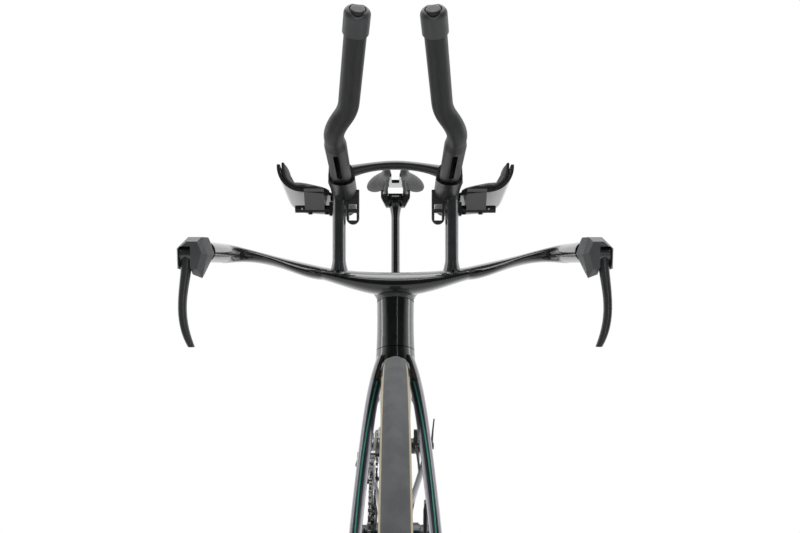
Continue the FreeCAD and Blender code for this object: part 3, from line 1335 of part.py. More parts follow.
def rest_curve(drop, outer):
    """Curve of the arm rest's section, lowered and pushed out by given amounts."""
    inner = Vector(CUP_INNER, CUP_FRONT, CUP_FLOOR - drop)
    flat = Vector(CUP_FLAT, CUP_FRONT, CUP_FLOOR + 3.0 - drop)
    middle = Vector(CUP_OUTER - 7.5 + outer * 0.8, CUP_FRONT, CUP_FLOOR + 13.0 - drop * 0.7)
    end = Vector(CUP_OUTER + outer, CUP_FRONT, CUP_FLOOR + CUP_RISE)
    return inner, flat, middle, end


def rest_plan(inset):
    """Round-cornered column over the arm rest's plan, drawn in by an inset."""
    depth = CUP_LENGTH * math.cos(RISE)
    plan = block((CUP_INNER + inset, CUP_OUTER + 30.0), (CUP_FRONT + inset, CUP_FRONT + depth - inset),
                 (CUP_FLOOR - 200.0, CUP_FLOOR + 200.0))
    corners = [edge for edge in plan.Edges if abs(edge.tangentAt(edge.FirstParameter).z) > 0.9]
    return plan.makeFillet(16.0, corners)


def arm_cup():
    """Arm cup with the saddle block that sits on the cross tube."""
    a, b, c, d = rest_curve(CUP_THICKNESS, CUP_THICKNESS)
    e, f, g, h = rest_curve(0.0, 0.0)
    face = Part.Face(Part.Wire([
        Part.makeLine(a, b), Part.Arc(b, c, d).toShape(), Part.makeLine(d, h), Part.Arc(h, g, f).toShape(),
        Part.makeLine(f, e), Part.makeLine(e, a)]))
    shell = face.extrude(REACH * -CUP_LENGTH).common(rest_plan(0.0))
    inner = Vector(CUP_INNER + 12.0, ARM_TUBE.y, 0)
    rake = [Vector(0, 12.0, ARM_TUBE.z - 2.0), Vector(0, -10.0, ARM_TUBE.z - 2.0),
            Vector(0, -24.0, CUP_FLOOR + 3.0), Vector(0, 12.0, CUP_FLOOR + 3.0)]
    side = Part.Face(polygon([inner + corner for corner in rake]))
    seat = side.extrude(ACROSS * (CUP_FLAT - CUP_INNER - 13.0))
    a, b, c, d = rest_curve(2.0, 0.0)
    lid = Part.Face(polygon([a, b, b + UP * 60, a + UP * 60])).extrude(REACH * -CUP_LENGTH)
    body = joined(shell, seat.cut(lid))
    return body.cut(lateral(ARM_TUBE, ARM_TUBE_RADIUS + RUNNING / 2, 0, 200))


def pad_outline(share):
    """Section of the arm pad at a share of its length, thinner toward both ends."""
    thick = PAD_THICKNESS * (0.6 + 0.4 * math.sin(math.pi * share))
    a, b, c, d = rest_curve(-0.1, -0.1)
    e, f, g, h = rest_curve(-thick, -thick * 0.5)
    a = a + (b - a) * 0.08 + UP * 0.1
    e = e - UP * (thick * 0.35)
    shoulder = e + (f - e) * 0.08 + ACROSS * (thick * 0.4)
    side = a + Vector(thick * 0.06, 0, thick * 0.34)
    over = Vector(0.12, 0, 1.0) * (PAD_OVERHANG * thick / PAD_THICKNESS)
    tip = (d + h) * 0.5 + over + UP * (thick * 0.2)
    wire = Part.Wire([
        Part.makeLine(a, b), Part.Arc(b, c, d).toShape(), Part.makeLine(d, d + over),
        Part.Arc(d + over, tip, h + over).toShape(), Part.makeLine(h + over, h),
        Part.Arc(h, g, f).toShape(), Part.makeLine(f, shoulder), Part.Arc(shoulder, side, a).toShape()])
    wire.translate(REACH * -(2.0 + (CUP_LENGTH - 4.0) * share))
    return wire


def arm_pad():
    """Foam pad crowned along its length and rolled over at its sides."""
    body = loft([pad_outline(share) for share in (0.0, 0.1, 0.5, 0.9, 1.0)])
    return body.common(rest_plan(2.0))


nodes["arm_cups"] = pair(arm_cup())
nodes["arm_pads"] = pair(arm_pad())


# Brake levers on the grips' ends.
LEVER_X = BAR_HALF_SPAN + 8.5
LEVER_HALF = 6.0
PIVOT_Y = GRIP_END_Y - 38.0
PIVOT_Z = BAR_END_HEIGHT - 4.0
PIVOT_RADIUS = 2.5
BODY_X = BAR_HALF_SPAN + 2.0


def facet(y, half, top, shoulder, keel, drop):
    """Six-sided section of a lever body with a keel on its inner lower corner."""
    z = BAR_END_HEIGHT
    return polygon([
        Vector(BODY_X - half * 0.62, y, z + top), Vector(BODY_X + half * 0.3, y, z + top),
        Vector(BODY_X + half * 1.1, y, z + shoulder * 0.3), Vector(BODY_X + half * 1.05, y, z - drop),
        Vector(BODY_X - keel, y, z - drop - keel), Vector(BODY_X - half, y, z - shoulder * 0.4)])


def lever_body():
    """Faceted brake body that plugs into the grip, slotted for the blade."""
    hood = loft([
        facet(GRIP_END_Y, 12.5, 11.5, 6.0, 3.0, 11.0), facet(GRIP_END_Y - 16.0, 16.0, 15.0, 8.0, 7.0, 15.0),
        facet(GRIP_END_Y - 40.0, 15.0, 14.5, 9.0, 10.0, 18.0),
        facet(GRIP_END_Y - 50.0, 11.5, 9.5, 5.0, 7.0, 12.0)], True)
    plug = rod(Vector(BAR_HALF_SPAN, GRIP_END_Y - 2.0, BAR_END_HEIGHT),
               Vector(BAR_HALF_SPAN, GRIP_END_Y + 28.0, BAR_END_HEIGHT), GRIP_RADIUS - 3.0)
    slot = block((LEVER_X - LEVER_HALF - 0.5, LEVER_X + LEVER_HALF + 0.5), (PIVOT_Y - 60.0, PIVOT_Y + 16.0),
                 (BAR_END_HEIGHT - 60.0, PIVOT_Z + 8.6))
    pin_hole = lateral(Vector(0, PIVOT_Y, PIVOT_Z), PIVOT_RADIUS + RUNNING / 2, BODY_X - 13.0, BODY_X + 40.0)
    return carved(joined(hood, plug), [slot, pin_hole])


def lever_pin():
    """Pivot pin across the slot of a lever body."""
    return lateral(Vector(0, PIVOT_Y, PIVOT_Z), PIVOT_RADIUS, BODY_X - 12.8, BODY_X + 14.6)


def lever_blade():
    """Brake blade that hangs from its pivot, bowed outward and turned in at its tip."""
    pivot = Vector(LEVER_X, PIVOT_Y, PIVOT_Z)
    hub_part = lateral(pivot, 7.0, LEVER_X - LEVER_HALF, LEVER_X + LEVER_HALF)
    outlines = []
    for drop, out, ahead, half_wide, half_thick in (
            (0.0, 0.0, 1.0, 5.6, 5.5), (24.0, 0.0, 7.0, 5.2, 4.6), (48.0, 0.2, 15.0, 4.5, 3.8),
            (72.0, -4.0, 23.0, 4.3, 3.4), (92.0, -12.5, 28.0, 3.4, 2.8)):
        spot = pivot + Vector(out, -ahead, -drop)
        outlines.append(egg(spot, FORWARD, ACROSS, half_thick, half_thick, half_wide))
    body = joined(hub_part, loft(outlines))
    return body.cut(lateral(pivot, PIVOT_RADIUS + RUNNING, 0, 300))


socket = rod(Vector(BAR_HALF_SPAN, GRIP_END_Y - 5.0, BAR_END_HEIGHT),
             Vector(BAR_HALF_SPAN, GRIP_END_Y + 28.5, BAR_END_HEIGHT), GRIP_RADIUS - 3.0 + RUNNING)
nodes["base_bar"] = carved(nodes["base_bar"], [socket, mirror(socket)])
body_left = lever_body()
nodes["brake_lever_bodies"] = Part.makeCompound(
    [body_left, mirror(body_left), lever_pin(), mirror(lever_pin())])
nodes["brake_lever_left"] = lever_blade()
nodes["brake_lever_right"] = mirror(nodes["brake_lever_left"])

# Seat.
CLAMP_SPOT = BRACKET + SEAT_LINE * ((RAIL_HEIGHT - 12.0 - BRACKET_Z) / SEAT_LINE.z)
HEAD_PIN = 10.0
YOKE_INNER = 15.0
YOKE_OUTER = RAIL_SPACING / 2 + 7.5
YOKE_HALF = 21.0


def seatpost():
    """Streamlined post with a round head across its top."""
    top = (RAIL_HEIGHT - 12.0 - BRACKET_Z) / SEAT_LINE.z
    shaft = loft([post_outline(SEAT_TOP - 130.0, 0.0), post_outline(top - 2.0, 0.0)], True)
    flare = loft([post_outline(top - reach, spare)
                  for reach, spare in ((38.0, 0.0), (24.0, 1.6), (10.0, 5.2))])
    head = lateral(CLAMP_SPOT, 15.0, -YOKE_INNER + 0.3, YOKE_INNER - 0.3)
    return joined(shaft, flare, head).cut(lateral(CLAMP_SPOT, HEAD_PIN + RUNNING / 2, -50, 50))


def yoke_taper(side):
    """Wedge outside a lower yoke, which narrows it toward the post."""
    y = CLAMP_SPOT.y - 2 * YOKE_HALF
    top = Vector(side * (YOKE_OUTER + 0.1), y, RAIL_HEIGHT - RAIL_RADIUS - 3.0)
    foot = Vector(side * (YOKE_INNER + 3.0), y, CLAMP_SPOT.z - 16.0)
    corner = Vector(side * (YOKE_OUTER + 10.0), y, foot.z)
    return Part.Face(polygon([top, foot, corner])).extrude(Vector(0, 4 * YOKE_HALF, 0))


def saddle_clamp():
    """Cross pin, two lower yokes and two upper yokes round the rails."""
    made = [lateral(CLAMP_SPOT, HEAD_PIN, -YOKE_INNER - 0.2, YOKE_INNER + 0.2)]
    for side in (1, -1):
        x = sorted((side * (YOKE_INNER + 0.2), side * YOKE_OUTER))
        y = (CLAMP_SPOT.y - YOKE_HALF, CLAMP_SPOT.y + YOKE_HALF)
        start = Vector(side * RAIL_SPACING / 2, CLAMP_SPOT.y - 100.0, RAIL_HEIGHT)
        groove = Part.makeCylinder(RAIL_RADIUS + RUNNING, 200.0, start, Vector(0, 1, 0))
        lower = block(x, y, (CLAMP_SPOT.z - 14.0, RAIL_HEIGHT - 0.4))
        upper = block(x, y, (RAIL_HEIGHT + 0.4, RAIL_HEIGHT + 8.0))
        for yoke, radius in ((lower, 9.0), (upper, 5.0)):
            mean = yoke.CenterOfMass.z
            away = [edge for edge in yoke.Edges if abs(edge.tangentAt(edge.FirstParameter).x) > 0.9
                    and (edge.CenterOfMass.z - mean) * (yoke.CenterOfMass.z - RAIL_HEIGHT) > 0]
            made.append(carved(yoke.makeFillet(radius, away), [groove, yoke_taper(side)]))
    return Part.makeCompound(made)


NOSE_Y = CLAMP_SPOT.y - 138.0
TAIL_Y = NOSE_Y + SADDLE_LENGTH
SHELL_Z = RAIL_HEIGHT + 24.0


def saddle_half(share):
    """Half width of the saddle at a share of its length from the nose."""
    nose = 26.0
    return nose + (SADDLE_WIDTH / 2 - nose) * max(0.0, (share - 0.3) / 0.55) ** 1.6 if share > 0.3 else nose


def saddle_shell():
    """Thin shell under the padding, wider and drooped toward the rear."""
    outlines = []
    for share in (0.04, 0.2, 0.4, 0.6, 0.8, 0.95):
        spot = Vector(0, NOSE_Y + SADDLE_LENGTH * share, SHELL_Z + 4.0 * share)
        half = (min(saddle_half(share), SADDLE_WIDTH / 2) - 4.0) * (1.0 - 0.42 * share)
        outlines.append(egg(spot, UP, ACROSS, 3.4, 3.4, half))
    half = SADDLE_CHANNEL / 2
    slot = block((-half, half), (NOSE_Y - 20, NOSE_Y + SADDLE_LENGTH * 0.52), (SHELL_Z - 90, SHELL_Z + 90))
    return loft(outlines).cut(slot)


def saddle_lobe():
    """Padded lobe on one side of the saddle's channel, crowned along its length."""
    outlines = []
    inner = SADDLE_CHANNEL / 2
    for share, crown, sag in ((0.0, 9.0, 8.0), (0.12, 13.0, 13.0), (0.4, 14.0, 12.0), (0.66, 16.0, 16.0),
                              (0.86, 17.0, 18.0), (1.0, 9.0, 9.0)):
        wide = min(saddle_half(share), SADDLE_WIDTH / 2) * (0.82 if share in (0.0, 1.0) else 1.0)
        half = (wide - inner) / 2
        lean = math.radians(SADDLE_DROOP * (0.3 + 0.7 * share))
        outward = Vector(math.cos(lean), 0, -math.sin(lean))
        height = SHELL_Z + 6.0 + 12.0 * share - half * math.sin(lean) * 0.7
        spot = Vector(inner + half * math.cos(lean), NOSE_Y + SADDLE_LENGTH * share, height)
        outlines.append(egg(spot, Vector(math.sin(lean), 0, math.cos(lean)), outward, crown, sag, half))
    return loft(outlines)


def rail(side):
    """Saddle rail from the nose, down through the clamp and up to the tail."""
    x = side * RAIL_SPACING / 2
    y = CLAMP_SPOT.y
    path = route([
        Vector(side * 14.0, NOSE_Y + 40.0, SHELL_Z + 1.0), Vector(side * 19.0, y - 62.0, RAIL_HEIGHT),
        Vector(x, y - 42.0, RAIL_HEIGHT), Vector(x, y + 46.0, RAIL_HEIGHT),
        Vector(side * 27.0, TAIL_Y - 28.0, SHELL_Z + 4.0)], 18.0)
    pieces = carved(pipe(path, RAIL_RADIUS), [nodes["saddle_shell"], nodes["saddle_padding"]]).Solids
    return max(pieces, key=lambda piece: piece.Volume)


nodes["seatpost"] = seatpost()
nodes["saddle_clamp"] = saddle_clamp()
nodes["saddle_shell"] = saddle_shell()
nodes["saddle_padding"] = pair(saddle_lobe().cut(nodes["saddle_shell"]))
nodes["saddle_rails"] = Part.makeCompound([rail(1), rail(-1)])

# Rear derailleur, opened out of its parallelogram along axes that run fore and aft.
HANGER = REAR_AXLE + Vector(-REAR_HUB_WIDTH / 2, 9.0, -28.0)
HANGER_OUT = -REAR_HUB_WIDTH / 2 - DROPOUT
LINK_TOP = Vector(HANGER_OUT - 12.0, HANGER.y + 8.0, HANGER.z - 20.0)
LINK_REACH = Vector(8.0, 0.0, -30.0)
LINK_LOW = LINK_TOP + LINK_REACH
LINK_PIN = 3.0
LINK_SPAN = 15.0
ALONG = Vector(0, 1, 0)


def knuckle():
    """Upper knuckle outside the hanger with the upper link pin's lugs."""
    base = lateral(HANGER, 11.0, HANGER_OUT - 14.0, HANGER_OUT)
    lug = rod(LINK_TOP - ALONG * 11.0, LINK_TOP + ALONG * 11.0, 7.0)
    arm = loft([egg(HANGER + Vector(-DROPOUT - 7.0, 5.0, 0), ALONG, ACROSS, 6.0, 6.0, 6.5),
                egg(LINK_TOP, ALONG, ACROSS, 10.5, 10.5, 6.5)], True)
    return joined(base, lug, arm)


def hanger():
    """Hanger plate below the right frame end, round about the knuckle's bolt."""
    low = Vector(HANGER_OUT, REAR_AXLE.y, REAR_AXLE.z)
    bolt = Vector(HANGER_OUT, HANGER.y, HANGER.z)
    web = Part.Face(polygon([
        low + Vector(0, -11.0, -7.0), low + Vector(0, 14.0, -3.0), bolt + Vector(0, 9.0, 0),
        bolt + Vector(0, -9.0, 0)])).extrude(ACROSS * DROPOUT)
    body = joined(web, lateral(HANGER, 9.0, HANGER_OUT, -REAR_HUB_WIDTH / 2))
    return body.cut(lateral(REAR_AXLE, 15.0, -200, 200))


def pivot_pin(spot):
    """Link pin that runs fore and aft."""
    return rod(spot - ALONG * LINK_SPAN, spot + ALONG * LINK_SPAN, LINK_PIN)


def link_pair():
    """Two outer link plates joined across, with the bores for both pins."""
    plates = []
    for side in (1, -1):
        y = LINK_TOP.y + side * (LINK_SPAN - 1.8)
        low = Vector(LINK_TOP.x, y - 1.6, LINK_TOP.z)
        high = Vector(LINK_LOW.x, y - 1.6, LINK_LOW.z)
        ends = [Part.makeCylinder(6.0, 3.2, spot, ALONG) for spot in (low, high)]
        side_step = ALONG.cross(LINK_REACH).normalize() * 5.4
        flat = Part.Face(polygon([low + side_step, high + side_step, high - side_step, low - side_step]))
        plates.append(joined(flat.extrude(ALONG * 3.2), *ends))
    out = ALONG.cross(LINK_REACH).normalize()
    if out.x > 0:
        out = out * -1
    middle = LINK_TOP + LINK_REACH * 0.5 + out * 5.4
    skin = Part.makeBox(3.0, 2 * LINK_SPAN - 1.0, 16.0, Vector(-1.5, -LINK_SPAN + 0.5, -8.0))
    skin.rotate(Vector(0, 0, 0), ALONG, -math.degrees(math.atan2(LINK_REACH.x, -LINK_REACH.z)))
    skin.translate(middle)
    tie = joined(plates[0], plates[1], skin)
    bores = [rod(spot - ALONG * 40, spot + ALONG * 40, LINK_PIN + RUNNING) for spot in (LINK_TOP, LINK_LOW)]
    return carved(tie, bores)


CAGE_OUT = CHAIN_X - 6.0
CAGE_IN = CHAIN_X + 6.0
CAGE_PLATE = 1.6


def motor_knuckle():
    """Lower knuckle with its motor case, from the link's pin to the cage's pivot."""
    pivot = Vector(0, GUIDE.y, GUIDE.z)
    case = lateral(pivot, 12.0, LINK_LOW.x + 8.0, CAGE_OUT - CAGE_PLATE - 0.4)
    lug = rod(LINK_LOW - ALONG * 11.0, LINK_LOW + ALONG * 11.0, 6.5)
    arm = loft([egg(LINK_LOW, ALONG, UP, 10.5, 10.5, 6.0),
                egg(Vector(LINK_LOW.x + 12.0, GUIDE.y + 2.0, GUIDE.z + 2.0), ALONG, UP, 11.0, 11.0, 9.0)],
               True)
    spindle = lateral(pivot, 4.0, CAGE_OUT - CAGE_PLATE - 2.0, CAGE_OUT + 1.0)
    return joined(case, lug, arm, spindle)


def cage():
    """Two pulley plates with their axle bolts, the outer one bored for the pivot."""
    guide = Vector(0, GUIDE.y, GUIDE.z)
    tension = Vector(0, TENSION.y, TENSION.z)
    run = tension - guide
    side_step = ACROSS.cross(run).normalize()
    plates = []
    for low in (CAGE_OUT - CAGE_PLATE, CAGE_IN):
        ends = [lateral(guide, 12.5, low, low + CAGE_PLATE), lateral(tension, 11.0, low, low + CAGE_PLATE)]
        start = Vector(low, 0, 0)
        web = Part.Face(polygon([
            start + guide + side_step * 9.0, start + tension + side_step * 7.0,
            start + tension - side_step * 7.0,
            start + guide - side_step * 9.0])).extrude(ACROSS * CAGE_PLATE)
        plate = joined(web, *ends)
        hole = block((low - 2, low + 5), (-4.0, 4.0), (17.0, CAGE_LENGTH - 18.0))
        hole.rotate(Vector(0, 0, 0), ACROSS, math.degrees(math.atan2(run.z, run.y)) - 90)
        hole.translate(guide)
        plates.append(plate.cut(hole))
    bolts = [lateral(spot, 3.0, CAGE_OUT - (0.0 if spot is guide else CAGE_PLATE),
                     CAGE_IN + CAGE_PLATE + 0.8)
             for spot in (guide, tension)]
    bosses = []
    for spot in (guide, tension):
        bosses.append(lateral(spot, 5.0, CAGE_OUT, CHAIN_X - 2.9))
        bosses.append(lateral(spot, 5.0, CHAIN_X + 2.9, CAGE_IN))
    body = joined(plates[0], plates[1], *(bolts + bosses))
    return body.cut(lateral(guide, 4.0 + RUNNING, CAGE_OUT - 4.0, CAGE_OUT + 1.2))


nodes["rear_derailleur_mount"] = Part.makeCompound([
    hanger(), knuckle().cut(pivot_pin(LINK_TOP)), pivot_pin(LINK_TOP)])
nodes["rear_derailleur_link"] = link_pair()
nodes["rear_derailleur_motor"] = Part.makeCompound(
    [motor_knuckle().cut(pivot_pin(LINK_LOW)), pivot_pin(LINK_LOW)])
nodes["rear_derailleur_cage"] = cage()

# Front derailleur on the seat tube above the chainrings.
SWING_TOP = BRACKET_Z + 146.0
FRONT_SPOT = BRACKET + SEAT_LINE * 140.0


def front_body():
    """Motor body on the seat tube's right side, with the slide that carries the cage."""
    case = block((-30.0, -10.0), (FRONT_SPOT.y - 16.0, FRONT_SPOT.y + 16.0),
                 (SWING_TOP - 10.0, SWING_TOP + 14.0))
    edges = [edge for edge in case.Edges if abs(edge.tangentAt(edge.FirstParameter).x) > 0.9]
    case = case.makeFillet(7.0, edges)
    rail_rod = lateral(Vector(0, FRONT_SPOT.y - 6.0, SWING_TOP + 2.0), 4.0, -56.0, -28.0)
    outlines = []
    for distance, nose, tail, half in ((70.0, 27.0, 40.0, 22.0), (190.0, 26.0, 46.0, 15.5)):
        outlines.append(egg(BRACKET + SEAT_LINE * distance, SEAT_FORWARD, ACROSS, nose, tail, half + 0.3))
    return joined(case, rail_rod).cut(loft(outlines, True))


def front_cage():
    """Cage with two curved plates beside the chain, hung from a sleeve on the slide."""
    sleeve = lateral(Vector(0, FRONT_SPOT.y - 6.0, SWING_TOP + 2.0), 7.5, -50.0, -38.5)
    sleeve = sleeve.cut(lateral(Vector(0, FRONT_SPOT.y - 6.0, SWING_TOP + 2.0), 4.0 + RUNNING, -80, 0))
    top = pitch_radius(OUTER_TEETH) + 22.0
    plates = []
    for low, depth in ((CHAIN_X - 5.8, 16.0), (CHAIN_X + 4.6, 33.0)):
        hoop = ring(BRACKET, top, top - depth, low, low + 1.2)
        keep = block((low - 1, low + 3), (BRACKET_Y - 4.0, BRACKET_Y + 66.0),
                     (BRACKET_Z + 40.0, BRACKET_Z + 180.0))
        plates.append(hoop.common(keep))
    lid = ring(BRACKET, top, top - 2.4, CHAIN_X - 5.8, CHAIN_X + 5.8)
    keep = block((-80, 0), (BRACKET_Y + 4.0, BRACKET_Y + 40.0), (BRACKET_Z + 40.0, BRACKET_Z + 180.0))
    hanger_arm = block((CHAIN_X - 2.0, CHAIN_X + 4.0), (FRONT_SPOT.y - 11.0, FRONT_SPOT.y - 1.0),
                       (BRACKET_Z + top - 12.0, SWING_TOP - 4.5))
    body = joined(plates[0], plates[1], lid.common(keep), sleeve, hanger_arm)
    return body.cut(lateral(Vector(0, FRONT_SPOT.y - 6.0, SWING_TOP + 2.0), 4.0 + RUNNING, -80, 0))


nodes["front_derailleur_body"] = front_body()
nodes["front_derailleur_cage"] = front_cage()

for name, shape in nodes.items():
    shape.exportStep("parts/" + name + ".step")
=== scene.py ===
"""Finishes, padding, small fittings, studio light and camera for a time trial bike."""

import logging
import math
from dataclasses import dataclass, field
from enum import Enum
from typing import Any, Dict, Iterable, List, Optional, Sequence, Tuple, Union

import bmesh
import bpy
import numpy as np
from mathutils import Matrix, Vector


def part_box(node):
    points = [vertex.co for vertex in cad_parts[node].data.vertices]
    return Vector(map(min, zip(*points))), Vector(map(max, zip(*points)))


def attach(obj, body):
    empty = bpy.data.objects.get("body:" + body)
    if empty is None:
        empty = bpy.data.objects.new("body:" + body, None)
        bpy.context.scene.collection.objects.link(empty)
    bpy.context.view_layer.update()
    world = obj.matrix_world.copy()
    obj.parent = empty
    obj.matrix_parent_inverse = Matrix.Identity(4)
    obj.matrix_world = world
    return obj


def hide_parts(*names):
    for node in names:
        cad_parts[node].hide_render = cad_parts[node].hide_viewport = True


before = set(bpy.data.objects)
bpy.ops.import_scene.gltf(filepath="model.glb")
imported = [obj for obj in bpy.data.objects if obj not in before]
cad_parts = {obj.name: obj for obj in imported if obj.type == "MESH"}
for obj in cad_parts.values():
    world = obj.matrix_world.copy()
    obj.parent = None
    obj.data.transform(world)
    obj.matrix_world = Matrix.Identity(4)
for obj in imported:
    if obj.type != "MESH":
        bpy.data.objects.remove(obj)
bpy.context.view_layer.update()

LOG = logging.getLogger("time_trial_bike")

Colour = Tuple[float, float, float]
Point = Tuple[float, float, float]
Profile = Sequence[Tuple[float, float]]

WHITE: Colour = (1.0, 1.0, 1.0)


class Wire:
    """A shader output that adds Math nodes when it is used in an expression."""

    def __init__(self, graph: "Graph", socket: bpy.types.NodeSocket) -> None:
        """Keep the graph and the output socket."""
        self.graph = graph
        self.socket = socket

    def combine(self, operation: str, left: "Term", right: "Term") -> "Wire":
        """Return a Math node of two terms.

        Args:
            operation: the Math node's operation.
            left: the first term.
            right: the second term.

        Returns:
            The node's output.
        """
        return self.graph.node("ShaderNodeMath", {"operation": operation}, {0: left, 1: right})

    def __add__(self, other: "Term") -> "Wire":
        """Return self + other."""
        return self.combine("ADD", self, other)

    def __radd__(self, other: "Term") -> "Wire":
        """Return other + self."""
        return self.combine("ADD", other, self)

    def __sub__(self, other: "Term") -> "Wire":
        """Return self - other."""
        return self.combine("SUBTRACT", self, other)

    def __rsub__(self, other: "Term") -> "Wire":
        """Return other - self."""
        return self.combine("SUBTRACT", other, self)

    def __mul__(self, other: "Term") -> "Wire":
        """Return self * other."""
        return self.combine("MULTIPLY", self, other)

    def __pow__(self, other: "Term") -> "Wire":
        """Return self to the power other."""
        return self.combine("POWER", self, other)

    def __abs__(self) -> "Wire":
        """Return the absolute value."""
        return self.combine("ABSOLUTE", self, 0.0)

    def above(self, edge: float) -> "Wire":
        """Return 1 where the value is above the edge and 0 elsewhere."""
        return self.combine("GREATER_THAN", self, edge)

    def least(self, other: "Term") -> "Wire":
        """Return the smaller of the two."""
        return self.combine("MINIMUM", self, other)

    def root(self) -> "Wire":
        """Return the square root."""
        return self.combine("SQRT", self, 0.0)

    def sine(self) -> "Wire":
        """Return the sine of the value in radians."""
        return self.combine("SINE", self, 0.0)

    def step(self, low: float, high: float) -> "Wire":
        """Return a smooth rise from 0 at low to 1 at high."""
        return self.graph.node("ShaderNodeMapRange", {"interpolation_type": "SMOOTHSTEP"},
                               {"Value": self, "From Min": low, "From Max": high})


Term = Union[Wire, float]


class Graph:
    """A node tree that is written as expressions."""

    def __init__(self, tree: bpy.types.NodeTree) -> None:
        """Empty the tree."""
        self.tree = tree
        self.tree.nodes.clear()

    def node(self, kind: str, settings: Optional[Dict[str, Any]] = None,
             sockets: Optional[Dict[Any, Any]] = None, output: Union[int, str] = 0) -> Wire:
        """Add any node.

        Args:
            kind: the node's type.
            settings: its properties, which are set first.
            sockets: values or wires by socket name or number.
            output: the output that is returned.

        Returns:
            The output as a wire.
        """
        made = self.tree.nodes.new(kind)
        for name, value in (settings or {}).items():
            setattr(made, name, value)
        for name, value in (sockets or {}).items():
            if isinstance(value, Wire):
                self.tree.links.new(value.socket, made.inputs[name])
            else:
                made.inputs[name].default_value = value
        return Wire(self, made.outputs[output]) if made.outputs else Wire(self, None)

    def place(self, output: str = "Object") -> Wire:
        """Return the object's own coordinates or normal."""
        return self.node("ShaderNodeTexCoord", output=output)

    def parts(self, vector: Wire) -> Tuple[Wire, Wire, Wire]:
        """Return the three parts of a vector."""
        split = self.node("ShaderNodeSeparateXYZ", sockets={0: vector})
        outputs = split.socket.node.outputs
        return Wire(self, outputs[0]), Wire(self, outputs[1]), Wire(self, outputs[2])

    def join(self, x: Term, y: Term, z: Term) -> Wire:
        """Return a vector of three values."""
        return self.node("ShaderNodeCombineXYZ", sockets={0: x, 1: y, 2: z})

    def noise(self, vector: Wire, scale: float, detail: float = 2.0) -> Wire:
        """Return fractal noise of about 0.5 on the vector."""
        return self.node("ShaderNodeTexNoise", sockets={"Vector": vector, "Scale": scale, "Detail": detail})

    def cells(self, vector: Wire, scale: float) -> Wire:
        """Return the distance to the nearest of many scattered points."""
        return self.node("ShaderNodeTexVoronoi", sockets={"Vector": vector, "Scale": scale})

    def mix(self, factor: Term, first: Any, second: Any) -> Wire:
        """Return a colour between two colours.

        Args:
            factor: 0 gives the first and 1 the second.
            first: a colour or a wire.
            second: a colour or a wire.

        Returns:
            The mixed colour.
        """
        return self.node("ShaderNodeMix", {"data_type": "RGBA"},
                         {0: factor, 6: rgba(first), 7: rgba(second)}, 2)

    def bump(self, height: Wire, distance: float) -> Wire:
        """Return a normal for a height map of the given depth in metres."""
        return self.node("ShaderNodeBump", sockets={"Height": height, "Distance": distance, "Strength": 1.0})

    def axle_distance(self, vector: Wire, centre: Point) -> Wire:
        """Return how far a place is from an axle along X through the centre."""
        _, y, z = self.parts(vector)
        return ((y - centre[1]) ** 2.0 + (z - centre[2]) ** 2.0).root()

    def rays(self, *kinds: str) -> List[Wire]:
        """Return 1 or 0 for each kind of ray, as Light Path names it."""
        outputs = self.node("ShaderNodeLightPath").socket.node.outputs
        return [Wire(self, outputs[kind]) for kind in kinds]


def rgba(colour: Any) -> Any:
    """Return a colour with alpha, or the wire itself."""
    return colour if isinstance(colour, Wire) else (*colour, 1.0)


def shade(level: float, blue: float = 0.0) -> Colour:
    """Return a grey of the given linear level with a little more blue."""
    return (level, level * (1.0 + blue / 2), level * (1.0 + blue))


def scaled(colour: Colour, factor: float) -> Colour:
    """Return a colour made lighter or darker by a factor."""
    red, green, blue = colour
    return (red * factor, green * factor, blue * factor)


@dataclass(frozen=True)
class Finish:
    """A finish with cloudy colour, uneven gloss and a fine surface grain."""

    name: str
    colour: Colour
    rough: float
    metal: float = 0.0
    coat: float = 0.0
    coat_rough: float = 0.03
    sheen: float = 0.0
    specular: float = 0.5
    cloud: float = 0.12
    cloud_scale: float = 35.0
    uneven: float = 0.15
    grain_scale: float = 900.0
    grain_depth: float = 0.00004
    slot: str = "matte_black"

    def tint(self, graph: Graph, place: Wire) -> Any:
        """Return the colour over the surface, lighter and darker in soft clouds."""
        return self.clouded(graph, graph.noise(place, self.cloud_scale, 3.0))

    def clouded(self, graph: Graph, pattern: Wire) -> Wire:
        """Return the colour, made lighter and darker by a pattern of about 0.5."""
        low, high = scaled(self.colour, 1.0 - self.cloud), scaled(self.colour, 1.0 + self.cloud)
        return graph.mix(pattern.step(0.3, 0.7), low, high)

    def gloss(self, graph: Graph, place: Wire) -> Term:
        """Return the roughness over the surface, with handled patches."""
        patches = graph.noise(place, self.cloud_scale * 2.3, 2.0)
        return self.rough * (1.0 - self.uneven) + patches * (2.0 * self.uneven * self.rough)

    def height(self, graph: Graph, place: Wire) -> Wire:
        """Return the height of the fine grain."""
        return graph.noise(place, self.grain_scale, 2.0)

    def metallic(self, graph: Graph, place: Wire) -> Term:
        """Return how metallic the surface is."""
        return self.metal

    def build(self) -> bpy.types.Material:
        """Make the material.

        Returns:
            A new node material.
        """
        material = bpy.data.materials.new(self.name)
        material.use_nodes = True
        graph = Graph(material.node_tree)
        place = graph.place()
        sockets = {
            "Base Color": rgba(self.tint(graph, place)),
            "Roughness": self.gloss(graph, place),
            "Metallic": self.metallic(graph, place),
            "Normal": graph.bump(self.height(graph, place), self.grain_depth),
            "Coat Weight": self.coat,
            "Coat Roughness": self.coat_rough,
            "Sheen Weight": self.sheen,
            "Specular IOR Level": self.specular,
        }
        surface = graph.node("ShaderNodeBsdfPrincipled", sockets=sockets)
        graph.node("ShaderNodeOutputMaterial", sockets={"Surface": surface})
        material.diffuse_color = (*self.colour, 1.0)
        return material


